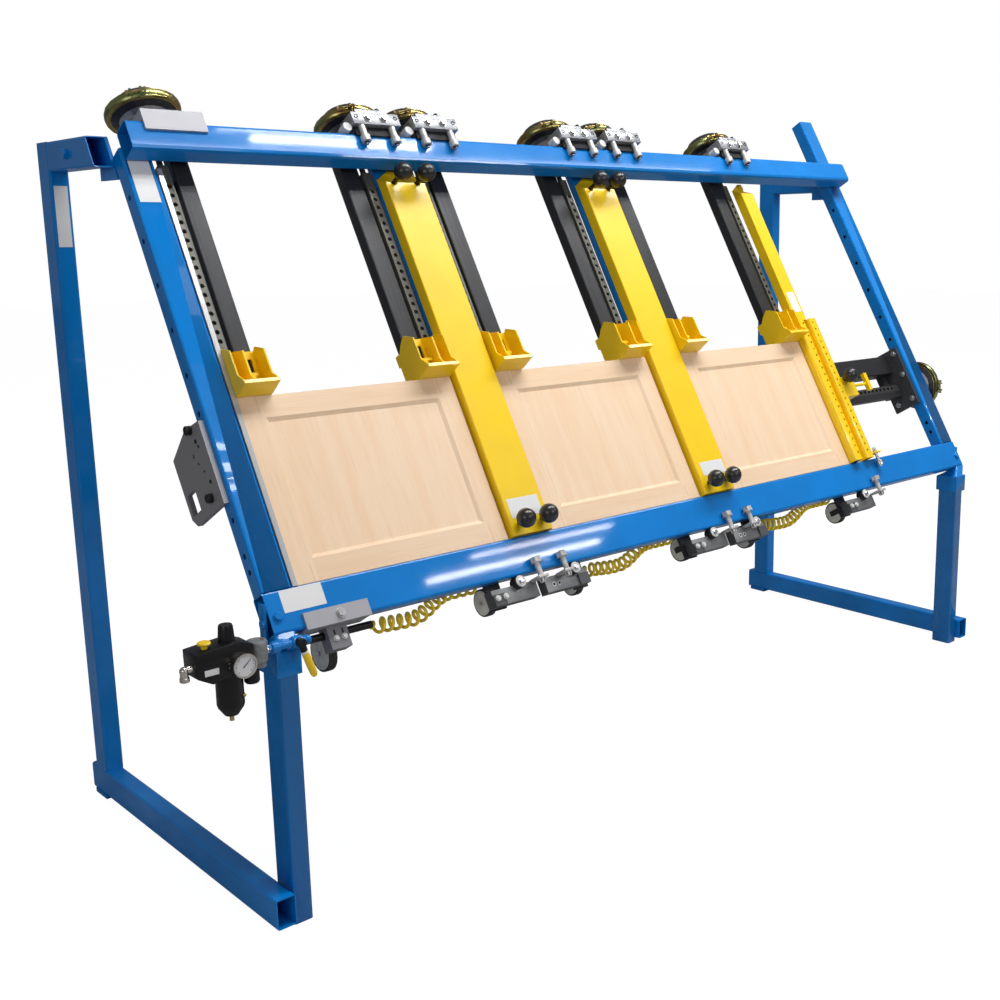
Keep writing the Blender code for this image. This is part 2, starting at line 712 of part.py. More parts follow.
def squaring_fence(parent):
    """Two round-cornered tubes on a back plate, with a bolt over the bottom rail's face."""
    second = fence_left + fence_tube + fence_slot
    right = second + fence_tube
    foot = rail_top
    back = rest_plane + gap
    pieces, cuts = [], []
    for left in (fence_left, second):
        body, hollow = tube(1, foot, fence_top, (back, fence_front), (left, left + fence_tube), 0.010)
        pieces.append(body)
        cuts.append(hollow)
    lap = tube_wall / 2
    pieces.append(box((fence_left + fence_tube - lap, second + lap), (foot, fence_top),
                      (back + 0.010, back + 0.010 + tube_wall)))
    pieces.append(box((right - lap, right + 0.0400), (foot + 0.012, foot + 0.017), (-0.010, 0.034)))
    bolt_x = right + 0.0260
    pieces.append(rod((bolt_x, 0.0660, 0.0180), (bolt_x, foot + 0.034, 0.0180), 0.0055, 8))
    pieces.append(rod((bolt_x, 0.0690, 0.0180), (bolt_x, 0.0850, 0.0180), 0.0125, 12))
    solid("squaring_fence", parent, "yellow_paint", pieces, cuts, smooth=True)


def side_beam(tilted):
    """The sideways clamp's beam, end plates, bar guide and chamber mount."""
    beam_out = (side_beam_front - side_beam_depth, side_beam_front)
    bar_out = (side_beam_front - bar_size, side_beam_front)
    left_plate = (stand_tube_width - side_plate, stand_tube_width)
    right_plate = (inner_right - gap - side_plate, inner_right - gap)
    lap = tube_wall / 2
    body, hollow = tube(0, left_plate[1] - lap, right_plate[0] + lap,
                        (side_beam_low, side_beam_high), beam_out, 0.004)
    left_end = prism([(0.331, -0.014), (0.540, -0.014), (0.551, -0.096), (0.516, -0.203),
                      (0.359, -0.200), (0.335, -0.179)], 0, *left_plate)
    right_end = prism([(0.283, -0.012), (0.520, -0.012), (0.523, -0.125), (0.283, -0.125)], 0, *right_plate)
    plate_through = (left_plate[0] - 0.01, left_plate[1] + 0.01)
    window = box(plate_through, (0.362, 0.416), (-0.186, -0.137))
    vent = rod((plate_through[0], 0.4800, -0.0900), (plate_through[1], 0.4800, -0.0900), 0.006, 8)
    guide_top = side_bar_low - gap
    pieces = [body, left_end, right_end,
              box((side_bar_left, right_plate[0] + lap), (guide_top - 0.024, guide_top), bar_out)]
    for low in (side_bar_left, right_plate[0] - 0.05):
        span = (low, low + 0.03)
        pieces.append(box(span, (guide_top - 0.02, side_beam_low + lap), (beam_out[0], bar_out[0] - gap)))
        pieces.append(box(span, (guide_top - 0.02, guide_top - 0.001), (beam_out[0], bar_out[0] + lap)))
    for up, out in ((0.538, -0.066), (0.364, -0.065)):
        pieces.append(rod((left_plate[0] + lap, up, out), (left_plate[0] - 0.012, up, out), 0.011, 8))
    mount_x = (side_chamber_left - gap - 0.008, side_chamber_left - gap)
    strut_out = (-0.110, -frame_depth - 0.002)
    strut_up = (guide_top - 0.034, guide_top - 0.020)
    pieces.append(box((right_plate[1] - lap, mount_x[1]), strut_up, strut_out))
    pieces.append(box(mount_x, (strut_up[0], side_bar_low + 0.050), strut_out))
    slack = 0.002
    passage = box((right_plate[0] - 0.01, right_plate[1] + 0.01),
                  (guide_top, side_bar_low + bar_size + slack),
                  (bar_out[0] - slack, bar_out[1] + slack))
    up, out = side_bar_low + bar_size / 2, side_beam_front - bar_size / 2
    bore = rod((mount_x[0] - 0.01, up, out), (mount_x[1] + 0.01, up, out), rod_bore, 10)
    solid("side_beam", tilted, "black_paint", pieces,
          [hollow, window, vent, passage, bore], smooth=True)


def side_pusher(tilted, fence_right):
    """The sideways clamp's bar, its jaw on the fence, and its air chamber."""
    up, out = side_bar_low + bar_size / 2, side_beam_front - bar_size / 2
    bar_out = (side_beam_front - bar_size, side_beam_front)
    bar_up = (side_bar_low, side_bar_low + bar_size)
    slide = empty("side_pusher_slide", tilted)
    bar = box((side_bar_left, side_bar_right), bar_up, bar_out)
    plunger = rod((side_bar_right - 0.001, up, out), (side_chamber_left + 0.012, up, out), rod_radius, 8)
    holes = []
    for index in range(side_hole_count):
        x = fence_right + 0.085 + index * hole_pitch
        holes.append(rod((x, up, bar_out[0] - 0.01), (x, up, bar_out[1] + 0.01), hole_radius, 6))
    solid("side_pusher_bar", slide, "bare_steel", [bar, plunger], holes)

    jaw_slide = empty("side_jaw_slide", slide)
    left = fence_right + gap
    front = side_beam_front + jaw_clearance
    right = left + 0.0650
    pieces = [box((left, right), (side_bar_low - 0.020, side_bar_low + 0.056), (front, 0.0250)),
              box((left, right), (bar_up[1] + jaw_clearance, bar_up[1] + 0.012),
                  (bar_out[0] - 0.004, front + 0.001)),
              rod((right - 0.001, 0.3820, 0.0100), (left + 0.1600, 0.3820, 0.0100), 0.0060, 8),
              box((left + 0.1500, left + 0.1680), (0.3540, 0.4220), (0.0050, 0.0200))]
    solid("side_jaw", jaw_slide, "yellow_paint", pieces, [],
          knob(left + 0.0180, 0.4080, 0.0560, 0.0240), smooth=True)
    squaring_fence(jaw_slide)
    hold_bar(jaw_slide, "end_bar", end_bar_left, end_bar_width, fence_top + gap, False)

    pieces, bores = chamber_pieces(0, (0, up, out), side_chamber_left, side_neck_height)
    solid("side_air_chamber", tilted, "zinc_yellow", pieces, bores, smooth=True)


def air_unit(assembly):
    """Filter and regulator in one body, with gauge and toggle, on the pipe that feeds the first hose."""
    pipe_y, pipe_z = -0.0020, 0.6830
    body = [(0.700, -0.157), (0.718, -0.157), (0.727, -0.060), (0.714, -0.026), (0.662, -0.026),
            (0.650, -0.100), (0.645, -0.122), (0.664, -0.156)]
    bowl_x, bowl_y = -0.0730, 0.0
    elbow_y, elbow_z = tilted_point(pipe_up, pipe_out)
    corner_x = 0.1180
    pieces = [prism(body, 1, -0.030, 0.035),
              rod((bowl_x, bowl_y, 0.715), (bowl_x, bowl_y, 0.7600), 0.0180, 14),
              rod((bowl_x, bowl_y, 0.665), (bowl_x, bowl_y, 0.5800), 0.0300, 16),
              rod((bowl_x, bowl_y, 0.5805), (bowl_x, bowl_y, 0.5560), 0.0300, 16, 0.0150),
              rod((bowl_x, bowl_y, 0.5600), (bowl_x, bowl_y, 0.5420), 0.0050, 8),
              rod((-0.0050, pipe_y, 0.6520), (-0.0050, pipe_y, 0.7120), 0.0230, 14),
              box((-0.0350, 0.0050), (-0.0180, 0.0140), (0.6640, 0.6980)),
              rod((-0.0350, -0.0150, 0.6620), (-0.0350, -0.0560, 0.6620), 0.0270, 18),
              rod((-0.0250, -0.0100, 0.6500), (-0.0250, -0.0100, 0.6220), 0.0170, 10),
              rod((-0.0250, -0.0100, 0.6800), (-0.0250, -0.0100, 0.6400), 0.0080, 8),
              rod((-0.1260, -0.0050, 0.7060), (-0.1260, -0.0050, 0.7330), 0.0080, 8),
              rod((-0.1260, -0.0050, 0.7300), (-0.1260, -0.0050, 0.7360), 0.0140, 10),
              rod((-0.1500, -0.0100, 0.6860), (-0.1780, -0.0100, 0.6860), 0.0080, 8),
              rod((-0.1760, -0.0100, 0.6910), (-0.1760, -0.0100, 0.6600), 0.0100, 8),
              rod((0.0, pipe_y, pipe_z), (corner_x, pipe_y, pipe_z), pipe_radius, 10),
              rod((corner_x, pipe_y - pipe_radius, pipe_z), (corner_x, elbow_y, elbow_z), pipe_radius, 10),
              rod((corner_x - pipe_radius, elbow_y, elbow_z), (pipe_end, elbow_y, elbow_z), pipe_radius, 10),
              box((0.0620, 0.0820), (pipe_y, front_post_setback - gap), (pipe_z - 0.007, pipe_z + 0.007))]
    solid("air_filter_regulator", assembly, "black_plastic", pieces, smooth=True)

    turn = empty("valve_turn", assembly, (0.0920, pipe_y, pipe_z))
    reach = pipe_radius + gap
    outline = [(0.0080, -0.0090), (-0.0100, -0.0090), (-0.0860, 0.0210), (-0.0800, 0.0370), (0.0080, 0.0120)]
    hub = rod((0, -reach - 0.0120, 0), (0, -reach, 0), 0.0100, 12)
    lever = prism(outline, 1, -reach - 0.0110, -reach - 0.0050)
    solid("valve_handle", turn, "yellow_paint", [hub, lever], smooth=True)


def air_hose(tilted, number, low, high, first_up):
    """A coiled hose, as the closed tube of its outer size. It sags, then rises behind the rail."""
    curve = bpy.data.curves.new(f"air_hose_{number}", "CURVE")
    curve.dimensions = "3D"
    curve.bevel_depth = hose_radius
    curve.bevel_resolution = 2
    curve.use_fill_caps = True
    sag_x = low + hose_sag_at * (high - low)
    route = ((low, first_up, hose_out), (low + 0.02, first_up, hose_out), (sag_x, hose_sag, hose_sag_out),
             (high - 0.02, hose_end_up, hose_end_out), (high, hose_end_up, hose_end_out))
    spline = curve.splines.new("POLY")
    spline.points.add(len(route) - 1)
    for point, place in zip(spline.points, route):
        point.co = (*place, 1)
    curve.materials.append(material("yellow_hose"))
    made = bpy.data.objects.new(f"air_hose_{number}", curve)
    bpy.context.scene.collection.objects.link(made)
    made.parent = tilted


def air_hoses(tilted):
    """Each hose runs along the rail from one clamp's tail to the next."""
    inset = 0.0035
    air_hose(tilted, 1, pipe_end + gap, clamp_edges[2] + inset, pipe_up)
    air_hose(tilted, 2, clamp_edges[3] - inset, clamp_edges[4] + inset, hose_up)
    air_hose(tilted, 3, carriage_lefts[5] + carriage_width + gap, clamp_edges[6] + inset, hose_up)


def clear_scene():
    for old in list(bpy.data.objects):
        bpy.data.objects.remove(old)


def stand_on_floor(assembly):
    """Puts the middle of the object's outer size over the origin, with its feet on the floor."""
    bpy.context.view_layer.update()
    graph = bpy.context.evaluated_depsgraph_get()
    spots = []
    for made in bpy.context.scene.objects:
        if made.type != "EMPTY":
            mesh = made.evaluated_get(graph).to_mesh()
            spots += [made.matrix_world @ vertex.co for vertex in mesh.vertices]
    for axis in range(3):
        low = min(spot[axis] for spot in spots)
        high = max(spot[axis] for spot in spots)
        assembly.location[axis] -= low if axis == 2 else (low + high) / 2


def main():
    clear_scene()
    assembly = empty("assembly", None)
    for side in ("left", "right"):
        base_rail(assembly, side)
        front_post(assembly, side)
        rear_post(assembly, side)
    tilted = empty("tilted", assembly, (0, frame_setback, frame_height), (tilt, 0, 0))
    lower_frame(tilted)
    side_tubes(tilted)
    top_rail(tilted)
    doors(tilted)
    for number in clamp_edges:
        clamp = Clamp(number, tilted)
        clamp_beam(clamp)
        pusher_bar(clamp)
        jaw(clamp)
        air_chamber(clamp)
        if number > 1:
            top_trolley(clamp)
            bottom_trolley(clamp)
    for number, left in enumerate(hold_bar_lefts, 1):
        hold_bar(tilted, f"hold_down_bar_{number}", left, hold_bar_width, rail_top, True)
    side_beam(tilted)
    side_pusher(tilted, fence_left + 2 * fence_tube + fence_slot)
    air_unit(assembly)
    air_hoses(tilted)
    stand_on_floor(assembly)


main()
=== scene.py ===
import math

import bmesh
import bpy
from bpy.props import FloatProperty, FloatVectorProperty, IntProperty, PointerProperty
from mathutils import Matrix, Vector


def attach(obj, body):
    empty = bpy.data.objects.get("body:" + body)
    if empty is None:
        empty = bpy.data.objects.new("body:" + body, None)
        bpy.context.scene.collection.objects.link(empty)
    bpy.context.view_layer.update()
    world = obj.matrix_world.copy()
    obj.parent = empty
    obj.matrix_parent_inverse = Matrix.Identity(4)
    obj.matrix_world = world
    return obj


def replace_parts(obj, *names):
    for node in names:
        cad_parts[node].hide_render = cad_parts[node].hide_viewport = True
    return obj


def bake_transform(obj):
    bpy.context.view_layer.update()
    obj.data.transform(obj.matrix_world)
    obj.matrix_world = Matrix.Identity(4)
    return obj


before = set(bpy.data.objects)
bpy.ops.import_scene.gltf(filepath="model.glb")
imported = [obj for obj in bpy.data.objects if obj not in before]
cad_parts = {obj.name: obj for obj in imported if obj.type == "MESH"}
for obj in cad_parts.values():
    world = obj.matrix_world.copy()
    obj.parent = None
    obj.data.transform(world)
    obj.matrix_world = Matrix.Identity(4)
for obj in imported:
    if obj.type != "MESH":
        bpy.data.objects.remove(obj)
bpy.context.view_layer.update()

bl_info = {
    "name": "Cabinet door clamp",
    "version": (1, 0, 0),
    "blender": (4, 5, 0),
    "location": "View3D > Sidebar > Door clamp",
    "description": "Finishes, fasteners, hoses and small fittings of a pneumatic clamp for cabinet doors",
    "category": "Object",
}

# Where the tilted frame's lower front corner lies, and its slope.
RAIL_ORIGIN = Vector((-1.4465, -0.4977, 0.7144))
TILT = math.radians(60)
STAND_ORIGIN = Vector((-1.4465, -0.5162, 0.012))

# Sizes that the fittings share with the frame, in metres.
BEAM_BACK = -0.0606
BEAM_TOP = 1.3220
CLAMP_EDGES = {1: 0.2309, 2: 0.6715, 3: 1.0185, 4: 1.4145, 5: 1.7680, 6: 2.2080}
CLAMP_HANDS = {1: -1, 2: 1, 3: -1, 4: 1, 5: -1, 6: 1}
FIXED_BEAM_WIDTH = 0.0475
BEAM_WIDTH = 0.0565
BEAM_TO_BAR = 0.0232     # from a beam's side to the middle of its pusher bar
TROLLEY_OFFSETS = {2: 0.0145, 3: 0.0290, 4: 0.0325, 5: 0.0400, 6: 0.0030}
TROLLEY_WIDTH = 0.152
CARRIAGE_LEFTS = {2: 0.6660, 3: 0.8460, 4: 1.4320, 5: 1.6200, 6: 2.2230}
CARRIAGE_ROLLERS = {2: 0.0906, 3: 0.1049, 4: 0.0906, 5: 0.1045, 6: 0.0952}
CARRIAGE_BOLTS = {2: 0.1495, 3: 0.0605, 4: 0.1560, 5: 0.0655, 6: 0.1620}
TAIL_WHEELS = {1: (0.2150, -0.0470, 0.0460), 2: (0.7035, -0.0300, 0.0380),
               3: (1.0120, -0.0370, 0.0380), 4: (1.4700, -0.0240, 0.0380),
               5: (1.7650, -0.0370, 0.0380), 6: (2.2600, -0.0370, 0.0380)}
DOOR_SPANS = ((0.1428, 0.7680), (0.9210, 1.5240), (1.6810, 2.3040))
HOLD_BAR_LEFTS = (0.7770, 1.5345)
HOLD_BAR_WIDTH = 0.1345
KNOB_PLACES = ((0.1355, 0.0530, 0.0140), (1.1820, 0.0710, -0.0190))
FENCE_LEFTS = (2.3078, 2.3758)
FENCE_TUBE = 0.0430
DOOR_FOOT = 0.1019
DOOR_HEIGHT = 0.48
DOOR_FACE = -0.0031
STILE_WIDTH = 0.0575
STILE_GROOVE = 0.0105
SIDE_CHAMBER_LEFT = 2.9850
SIDE_BAR_UP, SIDE_BAR_OUT = 0.3723, -0.0767
SIDE_KNOB = (2.4371, 0.4080, 0.0560)
STAND_DEPTH, POST_SETBACK, POST_DEPTH = 1.0884, 0.0294, 0.0762
SHARP_ANGLE = math.radians(30)
CHIP_WIDTH = 0.0015      # how far the chips reach in from an edge


def body_of(number):
    """The frame body that carries a vertical clamp: the first clamp is fixed."""
    return "frame" if number == 1 else f"clamp_{number}"


def on_rail(along, up, out):
    """A point of the tilted frame: along its rail, up its slope and out from its front face."""
    return RAIL_ORIGIN + Vector((along, up * math.cos(TILT) - out * math.sin(TILT),
                                 up * math.sin(TILT) + out * math.cos(TILT)))


def on_stand(x, y, z):
    """A point measured from the left base rail's lower front corner."""
    return STAND_ORIGIN + Vector((x, y, z))


def bar_centre(number):
    """Where a clamp's pusher bar lies along the rail."""
    width = FIXED_BEAM_WIDTH if number == 1 else BEAM_WIDTH
    return CLAMP_EDGES[number] + CLAMP_HANDS[number] * (width + BEAM_TO_BAR)


def new_object(name, data):
    """An object of its own in the scene."""
    made = bpy.data.objects.new(name, data)
    bpy.context.scene.collection.objects.link(made)
    return made


# ---------------------------------------------------------------- sizes and colours

def size(name, description, default, low=0.0):
    return FloatProperty(name=name, description=description, default=default, min=low,
                         unit="LENGTH", precision=4)


def colour(name, description, default):
    return FloatVectorProperty(name=name, description=description, default=default,
                               subtype="COLOR", size=3, min=0.0, max=1.0)


class DoorClampSizes(bpy.types.PropertyGroup):
    hose_tube: size("Hose tube", "Outer diameter of the coiled hoses' tube", 0.0090, 0.002)
    hose_coil: size("Hose coil", "Outer diameter of the hoses' coils", 0.0420, 0.01)
    hose_turns: IntProperty(name="Turns a metre", description="Turns of a hose, for a metre",
                            default=42, min=10, max=80)
    knob: size("Knob", "Diameter of the ball knobs on the hold-down bars", 0.0540, 0.01)
    bolt: size("Bolt head", "Radius of the larger bolts' heads, to their corners", 0.0100, 0.002)
    sticker: size("Plate thickness", "Thickness of the blank plates and labels", 0.0004, 0.0001)
    fence_hole: size("Fence hole", "Diameter of the fence's holes", 0.0085, 0.002)
    hole_pitch: size("Hole pitch", "Distance between neighbouring holes of a row", 0.0254, 0.01)


class DoorClampColours(bpy.types.PropertyGroup):
    blue: colour("Blue paint", "Paint of the stands, rails and side tubes", (0.0, 0.215, 0.66))
    yellow: colour("Yellow paint", "Paint of the jaws, hold-down bars and fence", (1.0, 0.66, 0.0))
    beam: colour("Beam paint", "Paint of the clamps' beams", (0.028, 0.029, 0.032))
    bar: colour("Bar steel", "Bare steel of the bars with holes", (0.15, 0.148, 0.128))
    light_grey: colour("Light grey", "Paint of the brackets", (0.40, 0.40, 0.43))
    aluminium: colour("Aluminium", "Machined blocks of the trolleys", (0.34, 0.35, 0.37))
    band: colour("Plated band", "Plated clamp bands of the air chambers", (0.40, 0.28, 0.09))
    maple: colour("Maple", "Wood of the doors", (0.90, 0.68, 0.475))
    hose: colour("Hose", "Plastic of the coiled hoses", (1.0, 0.72, 0.01))
    label: colour("Blank label", "Blank plates and labels", (0.80, 0.80, 0.80))


# ---------------------------------------------------------------- nodes

def feed(tree, socket, value):
    """Links a socket or sets a plain value."""
    if isinstance(value, bpy.types.NodeSocket):
        tree.links.new(value, socket)
    elif value is not None:
        socket.default_value = value


def node_of(tree, kind, inputs, **settings):
    """A new node with its settings made and its inputs linked or set."""
    node = tree.nodes.new(kind)
    for name, value in settings.items():
        setattr(node, name, value)
    for socket, value in inputs.items():
        feed(tree, node.inputs[socket], value)
    return node


def math_node(tree, operation, first, second=None):
    return node_of(tree, "ShaderNodeMath", {0: first, 1: second}, operation=operation).outputs[0]


def vector_node(tree, operation, first, second=None, output=0):
    made = node_of(tree, "ShaderNodeVectorMath", {0: first, 1: second}, operation=operation)
    return made.outputs[output]


def ramp(tree, value, low, high):
    return node_of(tree, "ShaderNodeMapRange", {"Value": value, "From Min": low, "From Max": high},
                   interpolation_type="SMOOTHSTEP").outputs["Result"]


def noise(tree, vector, scale, detail=3.0):
    inputs = {"Vector": vector, "Scale": scale, "Detail": detail}
    return node_of(tree, "ShaderNodeTexNoise", inputs).outputs["Fac"]


def mixed(tree, mask, first, second, kind="RGBA"):
    """first where the mask is 0, second where it is 1."""
    node = node_of(tree, "ShaderNodeMix", {}, data_type=kind)
    chosen = [s for s in node.inputs if s.enabled]
    feed(tree, chosen[0], mask)
    for socket, value in zip(chosen[1:], (first, second)):
        if kind == "RGBA" and not isinstance(value, bpy.types.NodeSocket):
            value = (*value[:3], 1)
        feed(tree, socket, value)
    return next(s for s in node.outputs if s.enabled)


def new_tree(name, tree_kind, inputs, outputs):
    """A node group with named sockets: (group, the outputs of its input node)."""
    group = bpy.data.node_groups.new(name, tree_kind)
    for direction, sockets in (("INPUT", inputs), ("OUTPUT", outputs)):
        for socket, kind in sockets.items():
            group.interface.new_socket(socket, in_out=direction, socket_type="NodeSocket" + kind)
    return group, group.nodes.new("NodeGroupInput").outputs


def shader_group(name, inputs, outputs):
    return new_tree(name, "ShaderNodeTree", inputs, dict.fromkeys(outputs, "Float"))


def end_group(group, **results):
    node_of(group, "NodeGroupOutput", results)


def make_zone_group():
    """1 inside a box of the given centre and half sizes, and 0 outside."""
    group, given = shader_group("Zone", dict.fromkeys(("Vector", "Centre", "Half"), "Vector"), ("Mask",))
    away = vector_node(group, "SUBTRACT", given["Vector"], given["Centre"])
    over = vector_node(group, "SUBTRACT", vector_node(group, "ABSOLUTE", away), given["Half"])
    x, y, z = node_of(group, "ShaderNodeSeparateXYZ", {0: over}).outputs
    widest = math_node(group, "MAXIMUM", math_node(group, "MAXIMUM", x, y), z)
    end_group(group, Mask=math_node(group, "LESS_THAN", widest, 0.0))


def make_wear_group():
    """Uneven gloss, fine orange peel and chips along edges of a painted or plated surface."""
    group, given = shader_group("Wear", {"Vector": "Vector", "Scale": "Float", "Chips": "Float"},
                                ("Uneven", "Peel", "Chipped"))
    vector = given["Vector"]
    bevel = node_of(group, "ShaderNodeBevel", {"Radius": CHIP_WIDTH}, samples=4)
    surface = group.nodes.new("ShaderNodeNewGeometry")
    flat = vector_node(group, "DOT_PRODUCT", bevel.outputs[0], surface.outputs["Normal"], "Value")
    edge = ramp(group, math_node(group, "SUBTRACT", 1.0, flat), 0.02, 0.16)
    speck = ramp(group, noise(group, vector, 55.0, 5.0), 0.50, 0.62)
    bare = math_node(group, "MULTIPLY", edge, speck)
    end_group(group, Uneven=ramp(group, noise(group, vector, given["Scale"], 4.0), 0.3, 0.7),
              Peel=noise(group, vector, 420.0, 2.0),
              Chipped=math_node(group, "MULTIPLY", bare, given["Chips"]))


def make_brushed_group():
    """Fine lines along one direction, as on rolled or machined metal."""
    group, given = shader_group("Brushed", {"Vector": "Vector", "Stretch": "Vector"}, ("Lines",))
    stretched = vector_node(group, "MULTIPLY", given["Vector"], given["Stretch"])
    end_group(group, Lines=noise(group, stretched, 1.0, 3.0))


def make_maple_group():
    """Maple's pale grain, running along the second axis of the vector."""
    group, given = shader_group("Maple grain", {"Vector": "Vector"}, ("Figure", "Fine"))
    broad = vector_node(group, "MULTIPLY", given["Vector"], (22.0, 2.2, 22.0))
    fine = vector_node(group, "MULTIPLY", given["Vector"], (420.0, 9.0, 420.0))
    end_group(group, Figure=ramp(group, noise(group, broad, 1.0, 5.0), 0.35, 0.68),
              Fine=noise(group, fine, 1.0, 2.0))


def place_group(tree, name, **values):
    return node_of(tree, "ShaderNodeGroup", values, node_tree=bpy.data.node_groups[name]).outputs


def inside(tree, vector, centre, half):
    """1 inside a box and 0 outside."""
    return place_group(tree, "Zone", Vector=vector, Centre=centre, Half=half)["Mask"]


def scaled(tree, colour, factors):
    """A colour with each of its parts made darker."""
    if isinstance(colour, bpy.types.NodeSocket):
        return vector_node(tree, "MULTIPLY", colour, factors)
    return tuple(part * factor for part, factor in zip(colour, factors))


def grey(value):
    return (value,) * 3


# ---------------------------------------------------------------- materials

class Finish:
    """A material under way: its shader, and vectors along the tilted frame."""

    def __init__(self, name, base, roughness, metallic=0.0, coat=0.0, specular=0.5):
        self.material = bpy.data.materials.new(name)
        self.material.use_nodes = True
        self.tree = self.material.node_tree
        self.shader = self.tree.nodes["Principled BSDF"]
        self.colour = tuple(base)
        self.roughness = roughness
        self.metallic = metallic
        self.height = None
        self.strength = 0.1
        self.put(("Coat Weight", coat), ("Coat Roughness", 0.05), ("Specular IOR Level", specular))
        self.material.diffuse_color = (*self.colour, 1)
        self.where = self.tree.nodes.new("ShaderNodeTexCoord").outputs["Object"]
        foot = -(Matrix.Rotation(-TILT, 3, "X") @ RAIL_ORIGIN)
        inputs = {"Vector": self.where, "Location": foot, "Rotation": (-TILT, 0, 0)}
        self.rail = node_of(self.tree, "ShaderNodeMapping", inputs).outputs[0]

    def put(self, *values):
        """Links or sets the shader's inputs."""
        for socket, value in values:
            feed(self.tree, self.shader.inputs[socket], value)

    def paint(self, mask, colour=None, roughness=None, metallic=None):
        """Changes the finish where the mask is 1."""
        if colour is not None:
            self.colour = mixed(self.tree, mask, self.colour, colour)
        if roughness is not None:
            self.roughness = mixed(self.tree, mask, self.roughness, roughness, "FLOAT")
        if metallic is not None:
            self.metallic = mixed(self.tree, mask, self.metallic, metallic, "FLOAT")
        return self

    def zone(self, low, high, colour, roughness=0.4, metallic=0.0):
        """Another finish inside a box, given in the tilted frame's measures."""
        low, high = Vector(low), Vector(high)
        mask = inside(self.tree, self.rail, (low + high) / 2, (high - low) / 2)
        return self.paint(mask, colour, roughness, metallic)

    def wear(self, dark, chips, bare, scale=6.0, peel=0.03):
        """Darker, duller patches, chips along edges and fine orange peel."""
        outputs = place_group(self.tree, "Wear", Vector=self.where, Scale=scale, Chips=chips)
        rougher = math_node(self.tree, "MULTIPLY", self.roughness, 1.35)
        self.paint(outputs["Uneven"], scaled(self.tree, self.colour, grey(dark)), rougher)
        self.paint(outputs["Chipped"], bare, 0.45)
        self.height, self.strength = outputs["Peel"], peel
        return self

    def brushed(self, stretch, contrast, bump):
        """Darker, duller lines along one direction."""
        outputs = place_group(self.tree, "Brushed", Vector=self.rail, Stretch=stretch)
        duller = math_node(self.tree, "MULTIPLY", self.roughness, 1.25)
        self.paint(ramp(self.tree, outputs["Lines"], 0.35, 0.65),
                   scaled(self.tree, self.colour, grey(contrast)), duller)
        self.height, self.strength = outputs["Lines"], bump
        return self

    def done(self):
        plain = not isinstance(self.colour, bpy.types.NodeSocket)
        self.put(("Base Color", (*self.colour[:3], 1) if plain else self.colour),
                 ("Roughness", self.roughness), ("Metallic", self.metallic))
        if self.height is not None:
            inputs = {"Strength": self.strength, "Distance": 0.0004, "Height": self.height}
            self.put(("Normal", node_of(self.tree, "ShaderNodeBump", inputs).outputs[0]))
        return self.material


def finish_of(name):
    """The finish of that name, made before."""
    return bpy.data.materials[name]


def give(nodes, material):
    """Puts a finish on whole nodes of the frame."""
    for node in nodes:
        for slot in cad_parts[node].material_slots:
            slot.material = material


def numbered(name, numbers=range(1, 7)):
    """The names of alike pieces."""
    return [f"{name}_{number}" for number in numbers]


# ---------------------------------------------------------------- shapes

